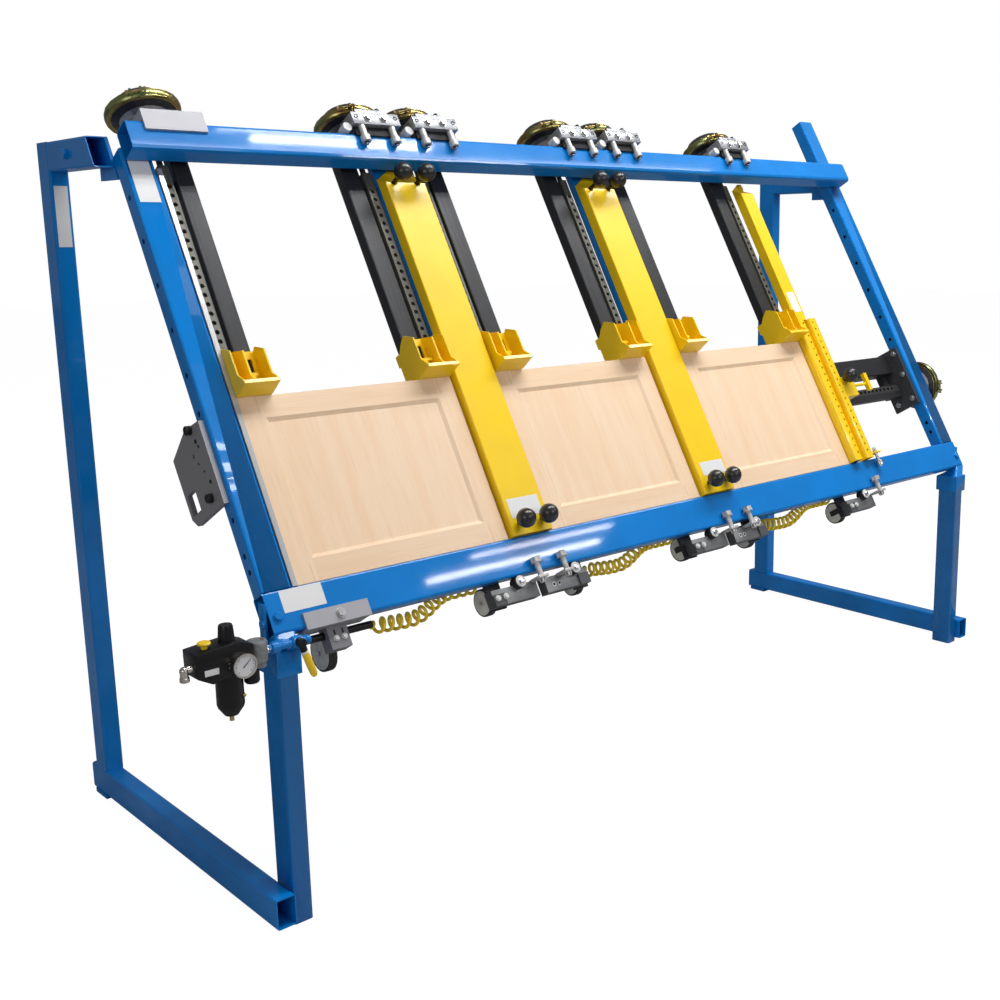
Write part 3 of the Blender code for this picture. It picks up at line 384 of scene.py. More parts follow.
class Shape:
    """Closed solids gathered in one mesh, each given in the place's own measures."""

    def __init__(self, place=on_rail):
        self.place = place
        self.mesh = bmesh.new()

    def prism(self, outline, axis, low, high, soften=0.0):
        """An outline in the two other axes, in cyclic order, extruded along the axis."""
        near, far = [], []
        for depth, ring in ((low, near), (high, far)):
            for first, second in outline:
                point = [0.0, 0.0, 0.0]
                point[axis], point[(axis + 1) % 3], point[(axis + 2) % 3] = depth, first, second
                ring.append(self.mesh.verts.new(self.place(*point)))
        faces = [self.mesh.faces.new(near), self.mesh.faces.new(far[::-1])]
        for a, b, c, d in zip(near, far, far[1:] + far[:1], near[1:] + near[:1]):
            faces.append(self.mesh.faces.new((a, b, c, d)))
        if soften:
            edges = list(dict.fromkeys(edge for face in faces for edge in face.edges))
            bmesh.ops.recalc_face_normals(self.mesh, faces=faces)
            bmesh.ops.bevel(self.mesh, geom=edges, offset=soften, segments=2, profile=0.5,
                            affect="EDGES", clamp_overlap=True)
        return self

    def slab(self, x, up, out, soften=0.0008):
        """A block between two places along each direction."""
        return self.prism([(up[0], out[0]), (up[1], out[0]), (up[1], out[1]), (up[0], out[1])],
                          0, x[0], x[1], soften)

    def circles(self, start, end, profile, sides):
        """Rings of vertices about start-end: profile holds (distance from start, radius)."""
        start, end = self.place(*start), self.place(*end)
        line = (end - start).normalized()
        across = line.orthogonal().normalized()
        other = line.cross(across)
        angles = [2 * math.pi * index / sides for index in range(sides)]
        rings = []
        for distance, radius in profile:
            centre = start + line * distance
            spokes = [math.cos(a) * across + math.sin(a) * other for a in angles]
            rings.append([self.mesh.verts.new(centre)] if radius < 1e-6 else
                         [self.mesh.verts.new(centre + radius * spoke) for spoke in spokes])
        return rings

    def turned(self, start, end, profile, sides=24):
        """A solid of revolution about start-end."""
        rings = self.circles(start, end, profile, sides)
        for low, high in zip(rings, rings[1:]):
            for index in range(sides):
                after = (index + 1) % sides
                corners = [low[index % len(low)], high[index % len(high)],
                           high[after % len(high)], low[after % len(low)]]
                unique = list(dict.fromkeys(corners))
                if len(unique) > 2:
                    self.mesh.faces.new(unique)
        for ring in (rings[0], rings[-1]):
            if len(ring) > 1 and rings[0] is not rings[-1] and profile[0] != profile[-1]:
                self.mesh.faces.new(ring)
        return self

    def ring(self, centre, toward, middle, thickness, height, sides=48, steps=10):
        """A closed band round an axis, with a rounded section."""
        turns = [2 * math.pi * index / steps for index in range(steps)]
        section = [(math.sin(a) * height / 2, middle + math.cos(a) * thickness / 2) for a in turns]
        rings = self.circles(centre, toward, section, sides)
        for low, high in zip(rings, rings[1:] + rings[:1]):
            for index in range(sides):
                after = (index + 1) % sides
                self.mesh.faces.new((low[index], high[index], high[after], low[after]))
        return self

    def rod(self, start, end, radius, sides=16, chamfer=0.0):
        """A round or many-sided rod, with its ends' edges cut."""
        length = (self.place(*end) - self.place(*start)).length
        c = min(chamfer, radius * 0.5, length * 0.4)
        cut = [(0, radius - c), (c, radius), (length - c, radius), (length, radius - c)]
        return self.turned(start, end, cut if c else [(0, radius), (length, radius)], sides)

    def ball(self, centre, radius, sides=28, steps=14):
        x, up, out = centre
        angles = [math.pi * index / steps for index in range(steps + 1)]
        profile = [(radius - radius * math.cos(a), radius * math.sin(a)) for a in angles]
        return self.turned((x, up, out - radius), (x, up, out + radius), profile, sides)

    def object(self, name, smooth=math.radians(35)):
        bmesh.ops.recalc_face_normals(self.mesh, faces=self.mesh.faces)
        mesh = bpy.data.meshes.new(name)
        self.mesh.to_mesh(mesh)
        self.mesh.free()
        mesh.shade_smooth()
        mesh.set_sharp_from_angle(angle=smooth)
        return new_object(name, mesh)

    def piece(self, name, finish, body, slot=None):
        """Ends the shape as a piece that rides on a body."""
        made = self.object(name)
        made.data.materials.append(finish_of(finish))
        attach(made, body)
        return made


# ---------------------------------------------------------------- geometry nodes

def geometry_tree(name, inputs):
    """A geometry tree with named inputs: (tree, the outputs of its input node)."""
    return new_tree(name, "GeometryNodeTree", {"Geometry": "Geometry", **inputs}, {"Geometry": "Geometry"})


def end_tree(tree, given, shapes):
    """Makes real meshes of the shapes and gives them the finish."""
    real = node_of(tree, "GeometryNodeRealizeInstances", {0: shapes})
    inputs = {"Geometry": real.outputs[0], "Material": given["Finish"]}
    end_group(tree, Geometry=node_of(tree, "GeometryNodeSetMaterial", inputs).outputs[0])


def attribute(tree, name, kind):
    return node_of(tree, "GeometryNodeInputNamedAttribute", {"Name": name}, data_type=kind).outputs[0]


def make_fastener_tree():
    """Sets a fastener on every point, facing along the point's own direction, at its own size."""
    tree, given = geometry_tree("Fasteners", {"Fastener": "Object", "Finish": "Material"})
    facing = {"Vector": attribute(tree, "facing", "FLOAT_VECTOR")}
    turn = node_of(tree, "FunctionNodeAlignRotationToVector", facing, axis="Z")
    source = node_of(tree, "GeometryNodeObjectInfo", {"Object": given["Fastener"]})
    spread = node_of(tree, "GeometryNodeInstanceOnPoints", {
        "Points": given["Geometry"], "Instance": source.outputs["Geometry"],
        "Rotation": turn.outputs[0], "Scale": attribute(tree, "radius", "FLOAT")})
    end_tree(tree, given, spread.outputs[0])


def make_hose_tree():
    """A tube of a given radius along a line."""
    tree, given = geometry_tree("Hose", {"Radius": "Float", "Finish": "Material"})
    inputs = {"Resolution": 10, "Radius": given["Radius"]}
    circle = node_of(tree, "GeometryNodeCurvePrimitiveCircle", inputs)
    inputs = {"Curve": given["Geometry"], "Profile Curve": circle.outputs[0], "Fill Caps": True}
    end_tree(tree, given, node_of(tree, "GeometryNodeCurveToMesh", inputs).outputs[0])


def grown(source, tree_name, values, name):
    """The plain mesh object that a node tree makes from a source, which it removes."""
    tree = bpy.data.node_groups[tree_name]
    step = source.modifiers.new(tree_name, "NODES")
    step.node_group = tree
    for item in tree.interface.items_tree:
        if item.in_out == "INPUT" and item.name in values:
            step[item.identifier] = values[item.name]
    source.update_tag()
    graph = bpy.context.evaluated_depsgraph_get()
    mesh = bpy.data.meshes.new_from_object(source.evaluated_get(graph))
    mesh.name = name
    bpy.data.objects.remove(source)
    return new_object(name, mesh)


def template(kind):
    """One fastener of unit radius, standing on the origin along Z."""
    shape = Shape(lambda x, y, z: Vector((x, y, z)))
    hexagon = [(0, 1.0), (0.60, 1.0), (0.70, 0.86)]
    washer = [(0, 1.25), (0.14, 1.25), (0.17, 1.20)]
    parts = {
        "hex": ((hexagon, 6, 0),),
        "bolt": ((washer, 20, 0), (hexagon, 6, 0.1)),
        "cap": (([(0, 1.0), (1.05, 1.0), (1.15, 0.90), (1.15, 0.55), (0.75, 0.55)], 16, 0),),
        "disc": (([(0, 0.0), (0, 1.0), (0.08, 1.0), (0.08, 0.0)], 16, 0),),
        "eye": (([(0, 1.0), (0.18, 1.0), (0.18, 0.62), (0.02, 0.60)], 18, 0),),
    }
    for profile, sides, foot in parts[kind]:
        shape.turned((0, 0, foot), (0, 0, 1), profile, sides)
    return shape.object("fastener_shape", SHARP_ANGLE)


def fasteners(name, kind, places, finish, body):
    """Fasteners as one piece: places holds (point, direction, radius)."""
    mesh = bpy.data.meshes.new(name)
    mesh.from_pydata([on_rail(*point) for point, _, _ in places], [], [])
    mesh.attributes.new("facing", "FLOAT_VECTOR", "POINT")
    mesh.attributes.new("radius", "FLOAT", "POINT")
    for index, (_, direction, radius) in enumerate(places):
        mesh.attributes["facing"].data[index].vector = on_rail(*direction) - RAIL_ORIGIN
        mesh.attributes["radius"].data[index].value = radius
    source = new_object(name + "_points", mesh)
    shape = template(kind)
    made = grown(source, "Fasteners", {"Fastener": shape, "Finish": finish_of(finish)}, name)
    bpy.data.objects.remove(shape)
    made.data.shade_smooth()
    made.data.set_sharp_from_angle(angle=SHARP_ANGLE)
    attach(made, body)


def pierced(node, cutter, body, name):
    """A copy of one of the frame's nodes with the cutter taken from it, which stands for the node."""
    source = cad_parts[node]
    edit = bmesh.new()
    edit.from_mesh(source.data)
    bmesh.ops.remove_doubles(edit, verts=edit.verts, dist=0.00001)
    mesh = bpy.data.meshes.new(name)
    edit.to_mesh(mesh)
    edit.free()
    cutters = cutter.object("cutters")
    blank = new_object(name + "_blank", mesh)
    step = blank.modifiers.new("Holes", "BOOLEAN")
    step.operation, step.solver, step.object = "DIFFERENCE", "EXACT", cutters
    graph = bpy.context.evaluated_depsgraph_get()
    cut = bpy.data.meshes.new_from_object(blank.evaluated_get(graph))
    cut.name = name
    bpy.data.objects.remove(blank)
    bpy.data.objects.remove(cutters)
    made = new_object(name, cut)
    cut.materials.clear()
    cut.materials.append(source.material_slots[0].material)
    cut.shade_smooth()
    cut.set_sharp_from_angle(angle=SHARP_ANGLE)
    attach(made, body)
    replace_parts(made, node)


# ---------------------------------------------------------------- operators

class DoorClampOperator:
    bl_options = {"REGISTER"}

    def execute(self, context):
        self.make(context.scene.door_clamp_sizes, context.scene.door_clamp_colours)
        return {"FINISHED"}


class DOORCLAMP_OT_stage(DoorClampOperator, bpy.types.Operator):
    """Pale floor, soft studio light and the camera"""
    bl_idname = "door_clamp.stage"
    bl_label = "Stage"

    def make(self, sizes, colours):
        scene = bpy.context.scene
        scene.view_settings.view_transform = "Standard"
        self.camera(scene)
        self.world(scene)
        for name, spot, facing, width, height, power in (
                ("overhead_light_1", (1.6, -1.05, 5.0), (0.0, 0.2, -1.0), 6.0, 0.22, 90.0),
                ("overhead_light_2", (1.6, -1.55, 5.0), (0.0, 0.3, -1.0), 6.0, 0.16, 70.0),
                ("overhead_light_3", (1.6, -0.55, 5.0), (0.0, 0.1, -1.0), 6.0, 0.16, 60.0),
                ("front_light", (0.6, -6.0, 3.4), (0.0, 1.0, -0.4), 3.0, 2.0, 50.0),
                ("left_light", (-5.5, -3.0, 2.6), (1.0, 0.5, -0.3), 3.0, 2.0, 45.0),
                ("rail_strip_1", (1.95, -2.785, 2.872), (0.0, 0.75, -0.66), 1.1, 0.014, 3.0),
                ("rail_strip_2", (1.72, -2.836, 2.812), (0.0, 0.75, -0.66), 1.3, 0.028, 6.0),
                ("top_strip_1", (1.31, -1.360, 4.930), (0.0, 0.42, -0.90), 1.2, 0.030, 9.0),
                ("top_strip_2", (1.31, -1.315, 4.952), (0.0, 0.42, -0.90), 1.6, 0.016, 5.0)):
            lamp = bpy.data.lights.new(name, "AREA")
            lamp.shape = "RECTANGLE"
            lamp.size, lamp.size_y, lamp.energy = width, height, power
            light = new_object(name, lamp)
            light.location = spot
            light.rotation_euler = Vector(facing).to_track_quat("-Z", "Y").to_euler()
        self.floor()

    def camera(self, scene):
        pan, tilt, roll = (math.radians(a) for a in (44.0916, -11.2674, -0.3938))
        forward = Vector((math.sin(pan) * math.cos(tilt), math.cos(pan) * math.cos(tilt), math.sin(tilt)))
        right = Vector((math.cos(pan), -math.sin(pan), 0))
        up = right.cross(forward)
        side = right * math.cos(roll) + up * math.sin(roll)
        top = up * math.cos(roll) - right * math.sin(roll)
        lens = bpy.data.cameras.new("camera")
        lens.sensor_width, lens.lens = 36.0, 43.96
        lens.shift_x, lens.shift_y = -0.125, -0.0183
        camera = new_object("camera", lens)
        camera.matrix_world = Matrix.Translation((-2.65546, -2.93208, 1.58479)) @ \
            Matrix((side, top, -forward)).transposed().to_4x4()
        scene.camera = camera

    def share(self, tree, amount, usual, seen, output):
        """Shows the camera some of another shader."""
        inputs = {0: amount, 1: usual.outputs[0], 2: seen.outputs[0]}
        mix = node_of(tree, "ShaderNodeMixShader", inputs)
        tree.links.new(mix.outputs[0], tree.nodes[output].inputs[0])

    def world(self, scene):
        """White to the camera, and a weak grey light for everything else."""
        world = bpy.data.worlds.new("studio")
        world.use_nodes = True
        tree = world.node_tree
        weak = tree.nodes["Background"]
        weak.inputs["Color"].default_value = (0.20, 0.20, 0.21, 1)
        white = node_of(tree, "ShaderNodeBackground", {"Color": (1, 1, 1, 1)})
        paths = tree.nodes.new("ShaderNodeLightPath")
        seen = math_node(tree, "MAXIMUM", paths.outputs["Is Camera Ray"],
                         paths.outputs["Is Transmission Ray"])
        self.share(tree, seen, weak, white, "World Output")
        scene.world = world

    def floor(self):
        """A pale floor that turns white where no shadow falls."""
        mesh = bpy.data.meshes.new("floor")
        far = 30.0
        mesh.from_pydata([(-far, -far, 0), (far, -far, 0), (far, far, 0), (-far, far, 0)], [],
                         [(0, 1, 2, 3)])
        material = bpy.data.materials.new("floor_white")
        material.use_nodes = True
        tree = material.node_tree
        shader = tree.nodes["Principled BSDF"]
        shader.inputs["Base Color"].default_value = (0.42, 0.42, 0.42, 1)
        shader.inputs["Roughness"].default_value = 0.9
        glow = node_of(tree, "ShaderNodeEmission", {"Color": (1, 1, 1, 1), "Strength": 1.34})
        paths = tree.nodes.new("ShaderNodeLightPath")
        seen = math_node(tree, "MULTIPLY", paths.outputs["Is Camera Ray"], 0.72)
        self.share(tree, seen, shader, glow, "Material Output")
        mesh.materials.append(material)
        new_object("floor", mesh)


class DOORCLAMP_OT_finishes(DoorClampOperator, bpy.types.Operator):
    """The paints, metals, plastics and wood of the whole machine"""
    bl_idname = "door_clamp.finishes"
    bl_label = "Finishes"

    def make(self, sizes, colours):
        for build in (make_zone_group, make_wear_group, make_brushed_group, make_maple_group,
                      make_fastener_tree, make_hose_tree):
            build()
        blue_wear = (0.88, 0.35, (0.05, 0.12, 0.25))
        gloss = {"blue_enamel": 0.12, "moulded_black": 0.35, "beam_enamel": 0.4}
        for name, base, roughness, metallic, coat, worn in (
                ("blue_enamel", colours.blue, 0.42, 0.0, 0.55, blue_wear),
                ("yellow_enamel", colours.yellow, 0.33, 0.0, 0.3, (0.93, 0.35, (0.30, 0.20, 0.02))),
                ("dark_grey_enamel", (0.085, 0.088, 0.094), 0.42, 0.1, 0.0, (0.85, 0.4, grey(0.3), 14.0)),
                ("stained_steel", (0.66, 0.65, 0.63), 0.34, 0.35, 0.0, (0.7, 0.3, grey(0.5), 60.0, 0.02)),
                ("silver_steel", (0.66, 0.66, 0.67), 0.24, 1.0, 0.0, (0.80, 0.3, grey(0.5), 40.0, 0.02)),
                ("white_roller", (0.72, 0.72, 0.70), 0.40, 0.0, 0.0, (0.85, 0.2, grey(0.5), 60.0, 0.02)),
                ("black_screw", (0.025, 0.025, 0.027), 0.32, 0.5, 0.0, (0.7, 0.4, grey(0.25), 60.0)),
                ("black_rubber", grey(0.018), 0.62, 0.0, 0.0, (0.8, 0.1, grey(0.05), 30.0, 0.10)),
                ("wheel_face", (0.80, 0.79, 0.70), 0.45, 0.0, 0.0, (0.80, 0.3, grey(0.4), 40.0)),
                ("black_ball", (0.016, 0.016, 0.017), 0.26, 0.0, 0.2, (0.9, 0.1, grey(0.05), 40.0, 0.04)),
                ("moulded_black", (0.006, 0.006, 0.007), 0.30, 0.0, 0.0,
                 (0.85, 0.2, grey(0.08), 30.0, 0.08)),
                ("cast_grey", (0.33, 0.34, 0.35), 0.42, 0.6, 0.0, (0.75, 0.4, grey(0.6), 60.0, 0.25)),
                ("nickel", (0.70, 0.66, 0.60), 0.22, 1.0, 0.0, (0.80, 0.2, grey(0.5), 60.0, 0.02)),
                ("brass", (0.62, 0.45, 0.20), 0.30, 1.0, 0.0, (0.80, 0.2, grey(0.5), 60.0, 0.02)),
                ("blank_label", colours.label, 0.45, 0.0, 0.0, (0.96, 0.0, grey(0.7), 8.0, 0.02)),
                ("dial_white", (0.78, 0.78, 0.80), 0.20, 0.0, 0.6, (0.97, 0.0, grey(0.7), 8.0, 0.01)),
                ("deep_black", (0.010, 0.010, 0.012), 0.60, 0.0, 0.0, (0.8, 0.0, grey(0.02), 30.0)),
                ("hose_yellow", colours.hose, 0.30, 0.0, 0.3, (0.80, 0.0, (0.3, 0.2, 0.0), 30.0, 0.02))):
            Finish(name, base, roughness, metallic, coat, gloss.get(name, 0.5)).wear(*worn).done()
        for name, base, roughness, metallic, lines in (
                ("beam_enamel", colours.beam, 0.36, 0.2, ((160.0, 2.0, 160.0), 0.72, 0.04)),
                ("bare_bar", colours.bar, 0.46, 0.45, ((300.0, 4.0, 300.0), 0.80, 0.08)),
                ("side_bar", grey(0.05), 0.42, 0.3, ((4.0, 300.0, 300.0), 0.80, 0.08)),
                ("machined_aluminium", colours.aluminium, 0.36, 0.55, ((30.0, 900.0, 900.0), 0.86, 0.05)),
                ("light_steel_face", (0.30, 0.305, 0.31), 0.36, 0.6, ((30.0, 900.0, 900.0), 0.80, 0.05))):
            made = Finish(name, base, roughness, metallic, specular=gloss.get(name, 0.5))
            made.brushed(*lines).done()
        stop = Finish("blue_enamel_with_stop", colours.blue, 0.42, coat=0.55, specular=0.12)
        stop.wear(*blue_wear)
        stop.zone((0.1299, 0.10, -0.02), (0.1430, 1.25, 0.01), grey(0.52), 0.35, 0.6).done()
        band = Finish("plated_band", colours.band, 0.24, 0.95)
        tint = ramp(band.tree, noise(band.tree, band.where, 9.0, 2.0), 0.40, 0.60)
        band.paint(tint, (0.34, 0.40, 0.16)).wear(0.6, 0.3, (0.5, 0.4, 0.2), 26.0, 0.02).done()


class DOORCLAMP_OT_frame(DoorClampOperator, bpy.types.Operator):
    """Paint of the stands, rails, side tubes and clamps, and their holes"""
    bl_idname = "door_clamp.frame"
    bl_label = "Frame"

    def make(self, sizes, colours):
        stands = [f"{side}_{part}" for side in ("left", "right")
                  for part in ("base_rail", "front_post", "rear_post")]
        yellow = ["side_jaw", "squaring_fence", "end_bar", "valve_handle"]
        movable = range(2, 7)
        for nodes, finish in (
                (stands + ["bottom_rail", "top_rail", "right_side_tube"], "blue_enamel"),
                (["left_side_tube"], "blue_enamel_with_stop"),
                (numbered("jaw") + yellow + numbered("hold_down_bar", (1, 2)), "yellow_enamel"),
                (numbered("clamp_beam", movable), "beam_enamel"),
                (numbered("pusher_bar"), "bare_bar"),
                (["side_pusher_bar"], "side_bar"),
                (numbered("top_trolley", movable), "machined_aluminium"),
                (numbered("bottom_trolley", movable), "dark_grey_enamel")):
            give(nodes, finish_of(finish))
        self.beams(colours)
        self.holes("left_side_tube", 0.0511)
        self.holes("right_side_tube", 2.8996)
        for side, x in (("left", (0.030, 0.0509)), ("right", (2.9760, 2.9969))):
            cutter = Shape(on_stand).slab(x, (0.0, 0.0500), (0.6634, 0.80), 0.0)
            pierced(f"{side}_front_post", cutter, "frame", f"{side}_front_post_trimmed")
        ends = [((x, 0.0400, 0.0001), (0, 0, 1), sizes.bolt) for x in (0.0713, 2.9555)]
        fasteners("rail_bolts", "bolt", ends, "blue_enamel", "frame")
        fasteners("bracket_bolt", "bolt", [((0.2220, 0.0140, 0.0071), (0, 0, 1), sizes.bolt)],
                  "silver_steel", "frame")
        face, apart = -0.0194, (0, 0.0220)
        bolts = [((0.2050 + d, -0.0370, face), (0, 0, 1), 0.0062) for d in apart]
        fasteners("bracket_block_bolts", "bolt", bolts, "white_roller", "frame")
        # Black slabs in the bracket block's two slots are painted shade, standing for the dark inside of
        # the slots.
        slot_shade = Shape()
        for d in apart:
            slot_shade.slab((0.2020 + d, 0.2065 + d), (-0.0290, -0.0160), (face - 0.002, face + 0.0003), 0.0)
        slot_shade.piece("bracket_block_slots", "deep_black", "frame")

    def beams(self, colours):
        """The fixed clamp's beam with its grey brackets, and the sideways beam with its plates."""
        fixed = Finish("fixed_beam", colours.beam, 0.36, 0.2, specular=0.4)
        fixed.brushed((160.0, 2.0, 160.0), 0.72, 0.04)
        bracket, plate = colours.light_grey, (0.24, 0.24, 0.25)
        fixed.zone((0.09, 1.2765, 0.017), (0.27, 1.34, 0.08), bracket, 0.42, 0.1)
        fixed.zone((0.12, -0.0070, -0.07), (0.31, 0.0350, 0.02), bracket, 0.42, 0.1)
        fixed.zone((0.186, -0.063, -0.0600), (0.241, -0.0066, -0.0190), (0.20, 0.20, 0.22), 0.42, 0.1)
        fixed.zone((0.20, 0.0030, 0.0070), (0.24, 0.0250, 0.02), grey(0.6), 0.3, 1.0)
        give(["clamp_beam_1"], fixed.done())
        side = Finish("side_beam_enamel", (0.022, 0.022, 0.024), 0.42, 0.2)
        side.brushed((2.0, 200.0, 200.0), 0.72, 0.03)
        side.zone((0.0300, 0.30, -0.21), (0.0510, 0.56, -0.0130), plate, 0.45, 0.1)
        side.zone((0.0386, 0.30, -0.0150), (0.0510, 0.56, -0.0130), (0.45, 0.45, 0.47), 0.4, 0.1)
        side.zone((2.8860, 0.27, -0.13), (2.90, 0.53, -0.011), (0.05, 0.052, 0.058), 0.45, 0.1)
        give(["side_beam"], side.done())

    def holes(self, node, wall):
        """The row of holes in one wall of a side tube."""
        cutter = Shape()
        for up in (0.16, 0.20, 0.29, 0.56, 0.66, 0.78, 0.90, 1.02, 1.14):
            cutter.rod((wall - 0.010, up, -0.0254), (wall + 0.010, up, -0.0254), 0.0072, 14)
        pierced(node, cutter, "frame", node + "_with_holes")


class DOORCLAMP_OT_doors(DoorClampOperator, bpy.types.Operator):
    """Maple of the three doors, with the grain along each stile, rail and panel"""
    bl_idname = "door_clamp.doors"
    bl_label = "Doors"

    def make(self, sizes, colours):
        for number, (left, right) in enumerate(DOOR_SPANS, 1):
            give([f"door_{number}"], self.wood(number, left, right, colours))
            self.seams(number, left, right)

    def wood(self, number, left, right, colours):
        """Grain that runs up the stiles and the panel, and across the rails."""
        wood = Finish(f"maple_{number}", colours.maple, 0.46)
        tree = wood.tree
        inputs = {"Vector": wood.rail, "Rotation": (0, 0, math.radians(90)),
                  "Location": (7.3 * number, 0, 0)}
        turned = node_of(tree, "ShaderNodeMapping", inputs)
        centre = ((left + right) / 2, DOOR_FOOT + DOOR_HEIGHT / 2, -0.0127)
        half = (right - left) / 2 - STILE_WIDTH
        between = inside(tree, wood.rail, centre, (half, 0.4, 0.05))
        panel = inside(tree, wood.rail, centre, (half, DOOR_HEIGHT / 2 - STILE_WIDTH, 0.05))
        rails = math_node(tree, "SUBTRACT", between, panel)
        vector = mixed(tree, rails, wood.rail, turned.outputs[0], "VECTOR")
        grain = place_group(tree, "Maple grain", Vector=vector)
        wood.paint(grain["Figure"], scaled(tree, wood.colour, (0.97, 0.92, 0.86)))
        dark = scaled(tree, wood.colour, (0.95, 0.92, 0.88))
        wood.paint(ramp(tree, grain["Fine"], 0.52, 0.72), dark)
        wood.paint(math_node(tree, "MULTIPLY", rails, 0.10), (0.70, 0.48, 0.30))
        wood.height, wood.strength = grain["Fine"], 0.06
        return wood.done()

    def seams(self, number, left, right):
        """The dark lines where the rails meet the stiles."""
        top, joint, half = DOOR_FOOT + DOOR_HEIGHT, STILE_WIDTH - STILE_GROOVE, 0.0003
        shape = Shape()
        for x in (left + joint, right - joint):
            for up in ((DOOR_FOOT, DOOR_FOOT + joint), (top - joint, top)):
                shape.slab((x - half, x + half), up, (DOOR_FACE - 0.002, DOOR_FACE), 0.0)
        Finish(f"seam_{number}", (0.42, 0.26, 0.14), 0.6).wear(0.9, 0.0, (0.3, 0.2, 0.1), 30.0).done()
        shape.piece(f"door_{number}_seams", f"seam_{number}", "frame", "maple")


class DOORCLAMP_OT_hoses(DoorClampOperator, bpy.types.Operator):
    """The three coiled air hoses under the bottom rail"""
    bl_idname = "door_clamp.hoses"
    bl_label = "Coiled hoses"

    def make(self, sizes, colours):
        for number, low, high, first_up, bodies in (
                (1, 0.3183, 0.6750, -0.0215, ("frame", "clamp_2")),
                (2, 1.0150, 1.4180, -0.0185, ("clamp_3", "clamp_4")),
                (3, 1.7723, 2.2115, -0.0185, ("clamp_5", "clamp_6"))):
            turns = 2 * round(sizes.hose_turns * (high - low) / 2)
            points = self.coil(low, high, first_up, turns, (sizes.hose_coil - sizes.hose_tube) / 2)
            self.hose(number, points, sizes.hose_tube, *bodies)

    def route(self, low, high, first_up, part):
        """A point of a coil's middle line: it sags, then rises behind the rail."""
        knots = ((0.0, first_up - 0.0050, -0.0550), (0.34, -0.0310, -0.0620),
                 (0.74, 0.0130, -0.0745), (1.0, 0.0130, -0.0745))
        for first, last in zip(knots, knots[1:]):
            if part <= last[0] + 1e-9:
                break
        ease = (1 - math.cos(math.pi * (part - first[0]) / (last[0] - first[0]))) / 2
        return Vector((low + part * (high - low), first[1] + ease * (last[1] - first[1]),
                       first[2] + ease * (last[2] - first[2])))

    def coil(self, low, high, first_up, turns, radius, steps=16):
        """Points wound round the route, which they leave and reach in three quarters of a turn."""
        count = turns * steps
        points = []
        for index in range(count + 1):
            part = index / count
            centre = self.route(low, high, first_up, part)
            before = self.route(low, high, first_up, max(part - 0.01, 0))
            after = self.route(low, high, first_up, min(part + 0.01, 1))
            direction = (after - before).normalized()
            sideways = direction.cross(Vector((0, 0, 1))).normalized()
            outward = sideways.cross(direction)
            ends = min(index, count - index) / steps
            wound = radius * min(1.0, ends / 0.75)
            angle = 2 * math.pi * index / steps
            points.append(centre + wound * (math.cos(angle) * sideways + math.sin(angle) * outward))
        return [on_rail(*point) for point in points]

    def hose(self, number, points, diameter, first, second):
        """One hose, or two halves that meet at the middle where both its ends move."""
        name, middle = f"coiled_hose_{number}", len(points) // 2
        if first == "frame":
            parts = ((name, points, second, points[0], points[-1]),)
        else:
            parts = ((name + "_left", points[:middle + 1], first, points[middle], points[0]),
                     (name + "_right", points[middle:], second, points[middle], points[-1]))
        for label, path, moving, start, end in parts:
            made = self.tube(label, path, diameter)
            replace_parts(made, f"air_hose_{number}")
            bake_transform(made)

    def tube(self, name, path, diameter):
        curve = bpy.data.curves.new(name + "_line", "CURVE")
        curve.dimensions = "3D"
        spline = curve.splines.new("POLY")
        spline.points.add(len(path) - 1)
        for spot, point in zip(spline.points, path):
            spot.co = (*point, 1)
        values = {"Radius": diameter / 2, "Finish": finish_of("hose_yellow")}
        made = grown(new_object(name + "_line", curve), "Hose", values, name)
        made.data.shade_smooth()
        return made


